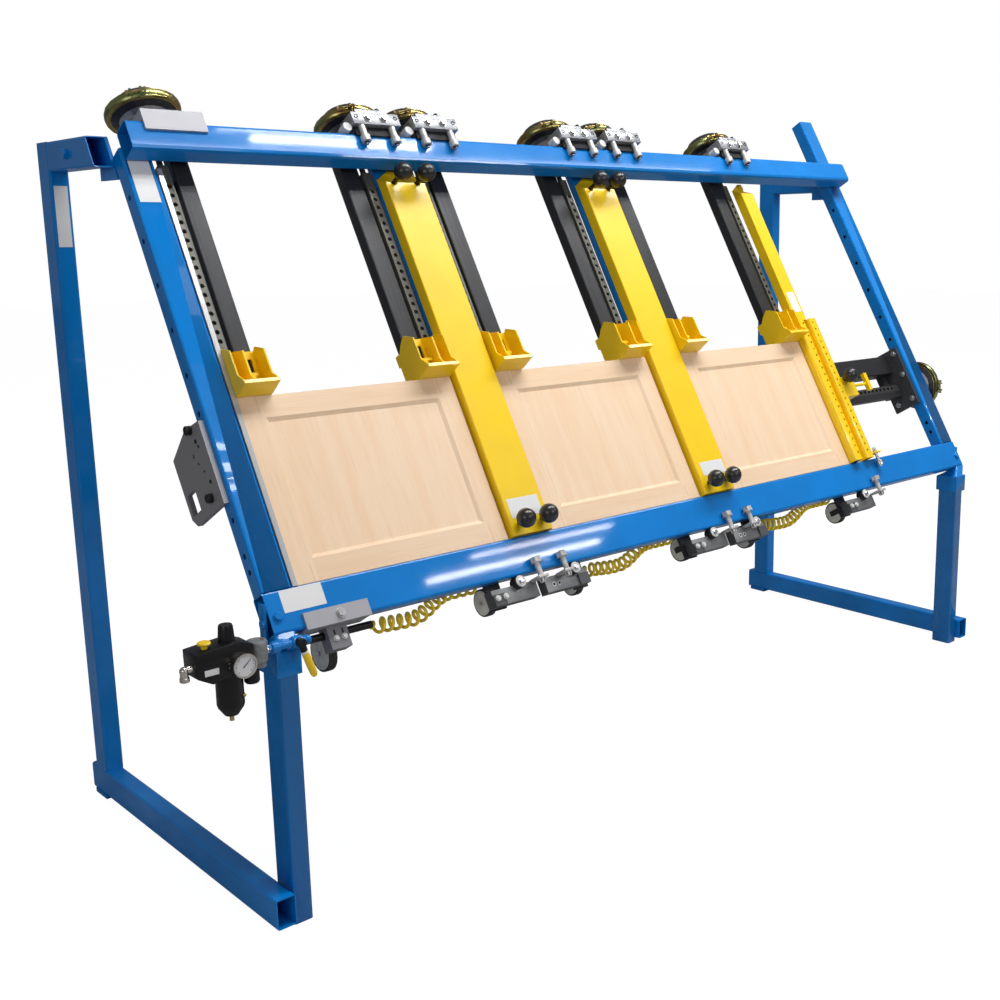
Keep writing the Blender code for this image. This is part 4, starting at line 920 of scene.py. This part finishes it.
class DOORCLAMP_OT_chambers(DoorClampOperator, bpy.types.Operator):
    """Clamp bands, lugs and bolts of the seven air chambers"""
    bl_idname = "door_clamp.chambers"
    bl_label = "Air chambers"

    def make(self, sizes, colours):
        for number in range(1, 7):
            finish = self.finish(f"chamber_finish_{number}", 1, BEAM_TOP + 0.0003, 0.0440, colours)
            give([f"air_chamber_{number}"], finish)
            centre = (bar_centre(number), BEAM_TOP + 0.0723, -0.0352)
            self.band(f"chamber_{number}", centre, 1, body_of(number))
        finish = self.finish("side_chamber_finish", 0, SIDE_CHAMBER_LEFT, 0.0200, colours)
        give(["side_air_chamber"], finish)
        self.band("side_chamber", (SIDE_CHAMBER_LEFT + 0.0480, SIDE_BAR_UP, SIDE_BAR_OUT), 0, "frame")

    def finish(self, name, axis, low, neck, colours):
        """Bare neck, black bowl and cap, along the chamber's own axis."""
        made = Finish(name, (0.016, 0.016, 0.018), 0.36)
        for first, last, colour, roughness in (
                (low - 0.01, low + neck + 0.008, (0.55, 0.55, 0.57), 0.30),
                (low + neck + 0.0170, low + neck + 0.0390, colours.band, 0.28)):
            start, end = [-9.0] * 3, [9.0] * 3
            start[axis], end[axis] = first, last
            made.zone(start, end, colour, roughness, 0.9)
        return made.wear(0.8, 0.3, grey(0.3), 20.0, 0.03).done()

    def band(self, name, centre, axis, body):
        """A round band in two halves, drawn together by two bolts with nuts between pairs of lugs."""
        def spot(angle, radius):
            x, up, out = centre
            away = radius * math.cos(angle)
            return (x + away, up, out + radius * math.sin(angle)) if axis else \
                (x, up + away, out + radius * math.sin(angle))

        toward = list(centre)
        toward[axis] += 1
        joints = (math.radians(118), math.radians(298))
        shape = Shape().ring(centre, toward, 0.0900, 0.0090, 0.0225)
        for angle in joints:
            for side in (-1, 1):
                a = angle + side * 0.125
                shape.turned(spot(a - side * 0.030, 0.1035), spot(a + side * 0.030, 0.1035),
                             [(0, 0.0085), (0.0055, 0.0085)], 8)
        shape.piece(name + "_band", "plated_band", body)
        bolts = Shape()
        for angle in joints:
            first, last = Vector(spot(angle - 0.24, 0.1050)), Vector(spot(angle + 0.24, 0.1050))
            bolts.rod(first, last, 0.0032, 10)
            for end, other in ((first, last), (last, first)):
                bolts.rod(end, end + (other - end).normalized() * 0.006, 0.0062, 6)
        bolts.piece(name + "_band_bolts", "brass", body)


class DOORCLAMP_OT_top_trolleys(DoorClampOperator, bpy.types.Operator):
    """Screws, rollers and plates of the trolleys on the top rail"""
    bl_idname = "door_clamp.top_trolleys"
    bl_label = "Top trolleys"

    def make(self, sizes, colours):
        front, axle = 0.0860, 0.0754
        for number, offset in TROLLEY_OFFSETS.items():
            centre = bar_centre(number) + offset
            left, right = centre - TROLLEY_WIDTH / 2, centre + TROLLEY_WIDTH / 2
            body, name = f"clamp_{number}", f"top_trolley_{number}"
            block = Shape()
            block.slab((left - 0.0004, right + 0.0004), (1.3216, 1.3584), (0.0560, front + 0.0004), 0.0018)
            block.slab((left + 0.020, right - 0.045), (1.3584, 1.3724), (0.0655, 0.0805), 0.0012)
            block.piece(name + "_block", "machined_aluminium", body)
            plate = Shape().slab((left + 0.0076, right - 0.0076), (1.2950, 1.3216), (0.0634, 0.0702))
            plate.piece(name + "_plate", "deep_black", body)
            heads = [((centre + d, 1.3415, front + 0.0004), (0, 0, 1), 0.0105) for d in (-0.026, 0.026)]
            fasteners(name + "_bolts", "bolt", heads, "silver_steel", body)
            # Black eyes on the block's face are painted shade, standing for the dark inside of two holes.
            holes = [((centre + d, 1.3440, front + 0.0002), (0, 0, 1), 0.0062) for d in (-0.064, 0.064)]
            fasteners(name + "_holes", "eye", holes, "deep_black", body)
            tops = [((left + d, 1.3722, 0.0730), (0, 1, 0), 0.0066) for d in (0.030, 0.098)]
            fasteners(name + "_cap_screws", "cap", tops, "black_screw", body)
            end = left - 0.015
            roller = Shape().rod((end, 1.3188, 0.0420), (end, 1.3188, 0.0724), 0.0134, 28, 0.0015)
            roller.piece(name + "_side_roller", "white_roller", body)
            under, places = Shape(), (centre - 0.049, centre + 0.049)
            for x in places:
                under.rod((x, 1.2880, axle), (x, 1.3216, axle), 0.0098, 20, 0.001)
                under.rod((x, 1.2692, axle), (x, 1.2888, axle), 0.0140, 28, 0.0014)
            under.piece(name + "_rollers", "stained_steel", body)
            nuts = [((x, 1.2698, axle), (0, -1, 0), 0.0070) for x in places]
            fasteners(name + "_nuts", "hex", nuts, "black_screw", body)


class DOORCLAMP_OT_bottom_trolleys(DoorClampOperator, bpy.types.Operator):
    """Blocks, rollers and bolts of the carriages under the bottom rail"""
    bl_idname = "door_clamp.bottom_trolleys"
    bl_label = "Bottom trolleys"

    def make(self, sizes, colours):
        for number, left in CARRIAGE_LEFTS.items():
            body, name = f"clamp_{number}", f"bottom_trolley_{number}"
            face = Shape().slab((left + 0.0002, left + TROLLEY_WIDTH - 0.0002),
                                (-0.0638, -0.0202), (-0.0400, -0.0190), 0.0014)
            face.piece(name + "_face", "light_steel_face", body)
            self.post(name, left + CARRIAGE_BOLTS[number], body)
            self.roller(name, left + CARRIAGE_ROLLERS[number], body)
            if CLAMP_HANDS[number] > 0:
                screws = [((left + x, -0.0440, -0.0128), (0, 0, 1), 0.0068) for x in (0.012, 0.038)]
                fasteners(name + "_screws", "bolt", screws, "white_roller", body)
            else:
                spots = [(left + x, -0.0440, -0.0188) for x in (0.028, 0.047)]
                rings = [(spot, (0, 0, 1), 0.0068) for spot in spots]
                fasteners(name + "_rings", "eye", rings, "white_roller", body)
                # Black discs inside the pale rings are painted shade, standing for the dark inside of the
                # rings' holes.
                holes = [((x, up, out + 0.0001), (0, 0, 1), 0.0068 * 0.55) for x, up, out in spots]
                fasteners(name + "_ring_holes", "disc", holes, "deep_black", body)

    def post(self, name, x, body):
        """The bolt that stands on the carriage before the rail, with its plate and head."""
        out = 0.0148
        post = Shape().rod((x, -0.0380, out), (x, 0.0340, out), 0.0078, 16)
        post.slab((x - 0.0165, x + 0.0165), (-0.0255, -0.0175), (-0.0190, 0.0275), 0.0012)
        post.piece(name + "_post", "stained_steel", body)
        head = Shape().rod((x, 0.0176, out), (x, 0.0210, out), 0.0166, 24, 0.0008)
        head.rod((x, 0.0205, out), (x, 0.0335, out), 0.0158, 6, 0.0012)
        head.rod((x, -0.0356, out), (x, -0.0236, out), 0.0104, 6, 0.0008)
        head.piece(name + "_post_head", "stained_steel", body)

    def roller(self, name, x, body):
        """The roller under the rail: a rubber hub, a pale disc and its bolt."""
        up = -0.0168
        hub = Shape().rod((x, up, -0.0302), (x, up, -0.0020), 0.0172, 32, 0.0012)
        hub.piece(name + "_hub", "black_rubber", body)
        disc = Shape().rod((x, up, -0.0030), (x, up, 0.0018), 0.0158, 32, 0.0012)
        disc.piece(name + "_disc", "white_roller", body)
        fasteners(name + "_disc_bolt", "bolt", [((x, up, 0.0016), (0, 0, 1), 0.0070)],
                  "silver_steel", body)


class DOORCLAMP_OT_wheels(DoorClampOperator, bpy.types.Operator):
    """Tyres and faces of the wheels behind the beams' tails"""
    bl_idname = "door_clamp.wheels"
    bl_label = "Tail wheels"

    def make(self, sizes, colours):
        width = 0.0210
        for number, (x, up, r) in TAIL_WHEELS.items():
            out = BEAM_BACK - 0.0110 - r
            body, name = body_of(number), f"tail_wheel_{number}"
            tyre = Shape().turned((x - width / 2, up, out), (x + width / 2, up, out),
                                  [(0, r * 0.86), (0.0004, r - 0.003), (0.003, r), (width - 0.003, r),
                                   (width - 0.0004, r - 0.003), (width, r * 0.86)], 48)
            tyre.piece(name + "_tyre", "black_rubber", body)
            faces, rim = Shape(), r * 0.88
            for side in (-1, 1):
                faces.turned((x + side * 0.0100, up, out), (x + side * 0.0125, up, out),
                             [(0, rim), (0.0012, rim), (0.0016, rim - 0.003), (0.0010, rim - 0.005),
                              (0.0010, 0.014), (0.0020, 0.012), (0.0024, 0.0)], 48)
            faces.piece(name + "_faces", "wheel_face", body)
            bolts = [((x + side * 0.0122, up, out), (side, 0, 0), 0.0068) for side in (-1, 1)]
            fasteners(name + "_bolts", "hex", bolts, "silver_steel", body)


class DOORCLAMP_OT_knobs(DoorClampOperator, bpy.types.Operator):
    """Ball knobs and studs of the hold-down bars and the side jaw"""
    bl_idname = "door_clamp.knobs"
    bl_label = "Knobs"

    def make(self, sizes, colours):
        radius = sizes.knob / 2
        for number, left in enumerate(HOLD_BAR_LEFTS, 1):
            balls, studs = Shape(), Shape()
            for side in (-1, 1):
                x = left + HOLD_BAR_WIDTH / 2 + side * 0.0395
                for up, out, foot in KNOB_PLACES:
                    balls.ball((x, up, out), radius)
                    balls.rod((x, up, out - radius - 0.0040), (x, up, out - radius * 0.7),
                              0.0100, 20, 0.001)
                    studs.rod((x, up, foot), (x, up, out - radius * 0.8), 0.0064, 16)
            body = f"hold_down_bar_{number}"
            balls.piece(f"hold_down_knobs_{number}", "black_ball", body)
            studs.piece(f"hold_down_studs_{number}", "black_screw", body)
        x, up, _ = SIDE_KNOB
        ball = Shape().ball(SIDE_KNOB, radius).rod((x, up, 0.0248), (x, up, 0.0400), 0.0100, 20, 0.001)
        ball.piece("side_jaw_knob", "black_ball", "side_jaw")


class DOORCLAMP_OT_fence(DoorClampOperator, bpy.types.Operator):
    """Hole rows, plug and bolt of the squaring fence"""
    bl_idname = "door_clamp.fence"
    bl_label = "Squaring fence"

    def make(self, sizes, colours):
        first, second = FENCE_LEFTS
        cutter = Shape()
        for x in (first + 0.027, second + 0.016):
            for index in range(21):
                up = 0.130 + index * sizes.hole_pitch
                cutter.rod((x, up, 0.0180), (x, up, 0.0400), sizes.fence_hole / 2, 10)
        pierced("squaring_fence", cutter, "side_jaw", "squaring_fence_tubes")
        plug = Shape().slab((first + 0.003, first + FENCE_TUBE - 0.003), (0.1012, 0.1060),
                            (-0.0190, 0.0250))
        plug.piece("fence_plug", "moulded_black", "side_jaw")
        x, out = second + FENCE_TUBE + 0.0260, 0.0180
        bolt = Shape().rod((x, 0.0640, out), (x, 0.1365, out), 0.0060, 16)
        bolt.rod((x, 0.0680, out), (x, 0.0860, out), 0.0131, 24, 0.0015)
        bolt.piece("fence_bolt", "silver_steel", "side_jaw")
        fasteners("fence_nuts", "bolt", [((x, 0.1192, out), (0, 1, 0), 0.0092)], "silver_steel", "side_jaw")


class DOORCLAMP_OT_side_clamp(DoorClampOperator, bpy.types.Operator):
    """Bolts of the sideways clamp's plates and beam"""
    bl_idname = "door_clamp.side_clamp"
    bl_label = "Side clamp"

    def make(self, sizes, colours):
        for name, kind, x, spots, finish in (
                ("side_plate_screws", "cap", 0.0381,
                 ((0.538, -0.066, 0.0115), (0.364, -0.065, 0.0115)), "black_screw"),
                # Black eyes on the side plate are painted shade, standing for the dark inside of its holes.
                ("side_plate_holes", "eye", 0.0379,
                 ((0.505, -0.056, 0.0055), (0.490, -0.050, 0.0040), (0.455, -0.075, 0.0030),
                  (0.398, -0.045, 0.0050), (0.430, -0.060, 0.0030)), "deep_black"),
                ("side_end_bolts", "bolt", 2.8858,
                 ((0.500, -0.030, 0.0090), (0.412, -0.028, 0.0090), (0.310, -0.030, 0.0090),
                  (0.310, -0.100, 0.0090)), "silver_steel")):
            places = [((x, up, out), (-1, 0, 0), radius) for up, out, radius in spots]
            fasteners(name, kind, places, finish, "frame")


class DOORCLAMP_OT_air_unit(DoorClampOperator, bpy.types.Operator):
    """Filter, regulator, gauge, toggle, pipe and valve of the air supply"""
    bl_idname = "door_clamp.air_unit"
    bl_label = "Air unit"

    def make(self, sizes, colours):
        self.filter()
        self.fittings()
        self.pipes()
        toggle = Shape(on_stand)
        toggle.rod((-0.126, -0.005, 0.7160), (-0.126, -0.005, 0.7310), 0.0070, 20, 0.001)
        toggle.rod((-0.126, -0.005, 0.7290), (-0.126, -0.005, 0.7360), 0.0145, 24, 0.002)
        toggle.piece("air_toggle", "yellow_enamel", "frame")
        labels = Shape(on_stand)
        labels.slab((-0.140, -0.108), (-0.0305, -0.0299), (0.6665, 0.6800), 0.0)
        labels.slab((-0.085, -0.058), (-0.0305, -0.0299), (0.6720, 0.6840), 0.0)
        labels.piece("air_unit_labels", "blank_label", "frame", "black_plastic")
        self.gauge()
        self.valve()

    def filter(self):
        """The moulded housing, its adjusting cap, bowl and outlet, and the cast valve head beside it."""
        housing = [(0.700, -0.157), (0.718, -0.157), (0.727, -0.060), (0.714, -0.026), (0.662, -0.026),
                   (0.650, -0.100), (0.645, -0.122), (0.664, -0.156)]
        cap = [(0, 0.0180), (0.0125, 0.01836), (0.045, 0.01584), (0.050, 0.01404), (0.0502, 0)]
        bowl = [(0, 0.0310), (0.012, 0.0310), (0.014, 0.0295), (0.083, 0.0300), (0.090, 0.0280),
                (0.1085, 0.0150), (0.1095, 0.0)]
        outlet = [(0, 0.0165), (0.004, 0.0170), (0.026, 0.0170), (0.030, 0.0140), (0.0301, 0)]
        black, x = Shape(on_stand), -0.073
        black.prism(housing, 1, -0.030, 0.035, 0.0020)
        black.turned((x, 0, 0.712), (x, 0, 0.762), cap, 28)
        black.rod((x, 0, 0.7120), (x, 0, 0.7220), 0.0215, 28, 0.002)
        black.turned((x, 0, 0.6650), (x, 0, 0.5560), bowl, 32)
        black.turned((-0.025, -0.010, 0.650), (-0.025, -0.010, 0.620), outlet, 24)
        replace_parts(black.piece("air_unit_body", "moulded_black", "frame"), "air_filter_regulator")
        head = [(0, 0.019), (0.010, 0.0195), (0.014, 0.0225), (0.052, 0.0235), (0.056, 0.0235),
                (0.0600, 0.0215), (0.0610, 0.0160), (0.0580, 0.0150), (0.0580, 0.0)]
        cast = Shape(on_stand).turned((-0.005, -0.002, 0.650), (-0.005, -0.002, 0.7135), head, 32)
        cast.slab((-0.0350, 0.0050), (-0.0180, 0.0140), (0.6640, 0.6980), 0.002)
        cast.piece("air_valve_head", "cast_grey", "frame")

    def fittings(self):
        """Plated elbows and stems, and the drain under the bowl."""
        plated = Shape(on_stand)
        plated.rod((-0.148, -0.010, 0.686), (-0.172, -0.010, 0.686), 0.0085, 20, 0.001)
        plated.ball((-0.176, -0.010, 0.684), 0.0100, 20, 10)
        for start, end, radius, sides, chamfer in (
                ((-0.176, -0.010, 0.684), (-0.176, -0.010, 0.668), 0.0090, 20, 0.0),
                ((-0.176, -0.010, 0.670), (-0.176, -0.010, 0.660), 0.0105, 20, 0.001),
                ((-0.025, -0.010, 0.676), (-0.025, -0.010, 0.648), 0.0080, 16, 0.0),
                ((-0.057, -0.030, 0.672), (-0.035, -0.010, 0.672), 0.0070, 16, 0.0),
                ((0.004, -0.002, 0.683), (0.026, -0.002, 0.683), 0.0095, 6, 0.001)):
            plated.rod(start, end, radius, sides, chamfer)
        plated.piece("air_unit_fittings", "nickel", "frame")
        drain = Shape(on_stand).rod((-0.073, 0, 0.5580), (-0.073, 0, 0.5420), 0.0052, 14, 0.0008)
        drain.ball((-0.052, -0.024, 0.602), 0.0045, 14, 8)
        drain.piece("air_unit_drain", "brass", "frame")

    def pipes(self):
        """The blue pipe with the valve, and the black line that runs on behind the rail."""
        y, z = -0.002, 0.683
        far_y = 0.0185 - 0.0215 * math.cos(TILT) + 0.0450 * math.sin(TILT)
        far_z = 0.7024 - 0.0215 * math.sin(TILT) - 0.0450 * math.cos(TILT)
        dark = Shape(on_stand).ball((0.118, far_y, far_z), 0.0110, 20, 10)
        dark.rod((0.118, far_y, far_z), (0.318, far_y, far_z), 0.0094, 20)
        dark.piece("air_line", "moulded_black", "frame")
        pipe = Shape(on_stand).rod((0.020, y, z), (0.118, y, z), 0.0094, 20)
        pipe.rod((0.028, y, z), (0.048, y, z), 0.0140, 24, 0.002)
        pipe.rod((0.078, y, z), (0.106, y, z), 0.0145, 24, 0.003)
        pipe.ball((0.118, y, z), 0.0110, 20, 10)
        pipe.rod((0.118, y, z), (0.118, far_y, far_z), 0.0094, 20)
        pipe.slab((0.0620, 0.0820), (y, 0.0148), (0.676, 0.690), 0.001)
        pipe.piece("air_pipe", "blue_enamel", "frame")

    def gauge(self):
        """A round gauge: rim, dial, a scale over three quarters of a turn and a pointer."""
        x, z = -0.060, 0.678
        rim = Shape(on_stand).turned(
            (x, -0.018, z), (x, -0.060, z),
            [(0, 0.0250), (0.030, 0.0255), (0.034, 0.0275), (0.0385, 0.0275), (0.0385, 0.0238),
             (0.0345, 0.0236), (0.0345, 0.0)], 40)
        rim.piece("gauge_rim", "nickel", "frame")
        dial = Shape(on_stand).turned((x, -0.0520, z), (x, -0.0600, z),
                                      [(0, 0.0), (0, 0.0235), (0.0012, 0.0235), (0.0012, 0.0)], 40)
        dial.piece("gauge_face", "dial_white", "frame")
        marks = Shape(on_stand)

        def line(degrees, inner, outer, half_in, half_out, low, high):
            across, along = math.sin(math.radians(degrees)), math.cos(math.radians(degrees))
            marks.prism([(z + along * r - across * side, x + across * r + along * side)
                         for r, side in ((inner, -half_in), (outer, -half_out),
                                         (outer, half_out), (inner, half_in))], 1, low, high)

        for index in range(25):
            inner, half = (0.0175, 0.00045) if index % 4 == 0 else (0.0192, 0.00025)
            line(-135 + 270 * index / 24, inner, 0.0212, half, half, -0.0535, -0.0530)
        line(48, -0.006, 0.017, 0.0011, 0.0004, -0.0542, -0.0538)
        marks.piece("gauge_marks", "deep_black", "frame", "black_plastic")

    def valve(self):
        """The lever's grip, its pale collar and black root."""
        y = -0.0220
        grip = Shape(on_stand).turned((0.1005, y, 0.6600), (0.1225, y, 0.5980),
                                      [(0, 0.0082), (0.006, 0.0088), (0.040, 0.0090), (0.058, 0.0080),
                                       (0.0635, 0.0055), (0.0650, 0.0)], 20)
        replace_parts(grip.piece("valve_grip", "yellow_enamel", "valve_handle"), "valve_handle")
        collar = Shape(on_stand).rod((0.0988, y, 0.6645), (0.1005, y, 0.6598), 0.0088, 20, 0.0006)
        collar.piece("valve_collar", "blank_label", "valve_handle", "yellow_paint")
        root = Shape(on_stand).rod((0.0920, -0.0120, 0.6860), (0.0920, -0.0300, 0.6860), 0.0105, 20, 0.001)
        root.rod((0.0925, y, 0.6880), (0.0990, y, 0.6640), 0.0082, 20, 0.001)
        root.piece("valve_root", "moulded_black", "valve_handle")


class DOORCLAMP_OT_labels(DoorClampOperator, bpy.types.Operator):
    """Blank plates and labels on the frame and the hold-down bars"""
    bl_idname = "door_clamp.labels"
    bl_label = "Blank labels"

    def make(self, sizes, colours):
        thick = sizes.sticker
        on_frame, on_bar = (0.0001, thick), (0.0156, 0.0155 + thick)
        back = STAND_DEPTH - POST_SETBACK - POST_DEPTH
        for name, place, body, slot, boxes in (
                ("rail_labels", on_rail, "frame", "blue_paint",
                 (((0.0905, 0.1990), (0.0445, 0.0985), on_frame),
                  ((0.0620, 0.1150), (1.1140, 1.2300), on_frame))),
                ("post_label", on_stand, "frame", "blue_paint",
                 (((0.0080, 0.0430), (back - thick, back - 0.0001), (1.5600, 1.7180)),)),
                ("hold_down_label_1", on_rail, "hold_down_bar_1", "yellow_paint",
                 (((0.7900, 0.8960), (0.1500, 0.2050), on_bar),)),
                ("hold_down_label_2", on_rail, "hold_down_bar_2", "yellow_paint",
                 (((1.5560, 1.6600), (0.1600, 0.2040), on_bar),)),
                ("end_bar_label", on_rail, "side_jaw", "yellow_paint",
                 (((2.3280, 2.3700), (0.6900, 0.7700), on_bar),))):
            label = Shape(place)
            for box in boxes:
                label.slab(*box, 0.0)
            label.piece(name, "blank_label", body, slot)


class DOORCLAMP_PT_panel(bpy.types.Panel):
    """Sizes, colours and pieces of the door clamp"""
    bl_idname = "DOORCLAMP_PT_panel"
    bl_label = "Door clamp"
    bl_space_type = "VIEW_3D"
    bl_region_type = "UI"
    bl_category = "Door clamp"

    def draw(self, context):
        layout = self.layout
        for group in (context.scene.door_clamp_sizes, context.scene.door_clamp_colours):
            box = layout.box()
            for key in group.__annotations__:
                box.prop(group, key)
        for operator in OPERATORS:
            layout.operator(operator.bl_idname)


OPERATORS = (DOORCLAMP_OT_stage, DOORCLAMP_OT_finishes, DOORCLAMP_OT_hoses, DOORCLAMP_OT_frame,
             DOORCLAMP_OT_doors, DOORCLAMP_OT_chambers, DOORCLAMP_OT_top_trolleys,
             DOORCLAMP_OT_bottom_trolleys, DOORCLAMP_OT_wheels, DOORCLAMP_OT_knobs, DOORCLAMP_OT_fence,
             DOORCLAMP_OT_side_clamp, DOORCLAMP_OT_air_unit, DOORCLAMP_OT_labels)
CLASSES = (DoorClampSizes, DoorClampColours, *OPERATORS, DOORCLAMP_PT_panel)


def register():
    for item in CLASSES:
        bpy.utils.register_class(item)
    bpy.types.Scene.door_clamp_sizes = PointerProperty(type=DoorClampSizes)
    bpy.types.Scene.door_clamp_colours = PointerProperty(type=DoorClampColours)


def unregister():
    del bpy.types.Scene.door_clamp_colours
    del bpy.types.Scene.door_clamp_sizes
    for item in reversed(CLASSES):
        bpy.utils.unregister_class(item)


def main():
    register()
    for operator in OPERATORS:
        call = getattr(bpy.ops.door_clamp, operator.bl_idname.split(".")[1])
        call()


if __name__ == "__main__":
    main()
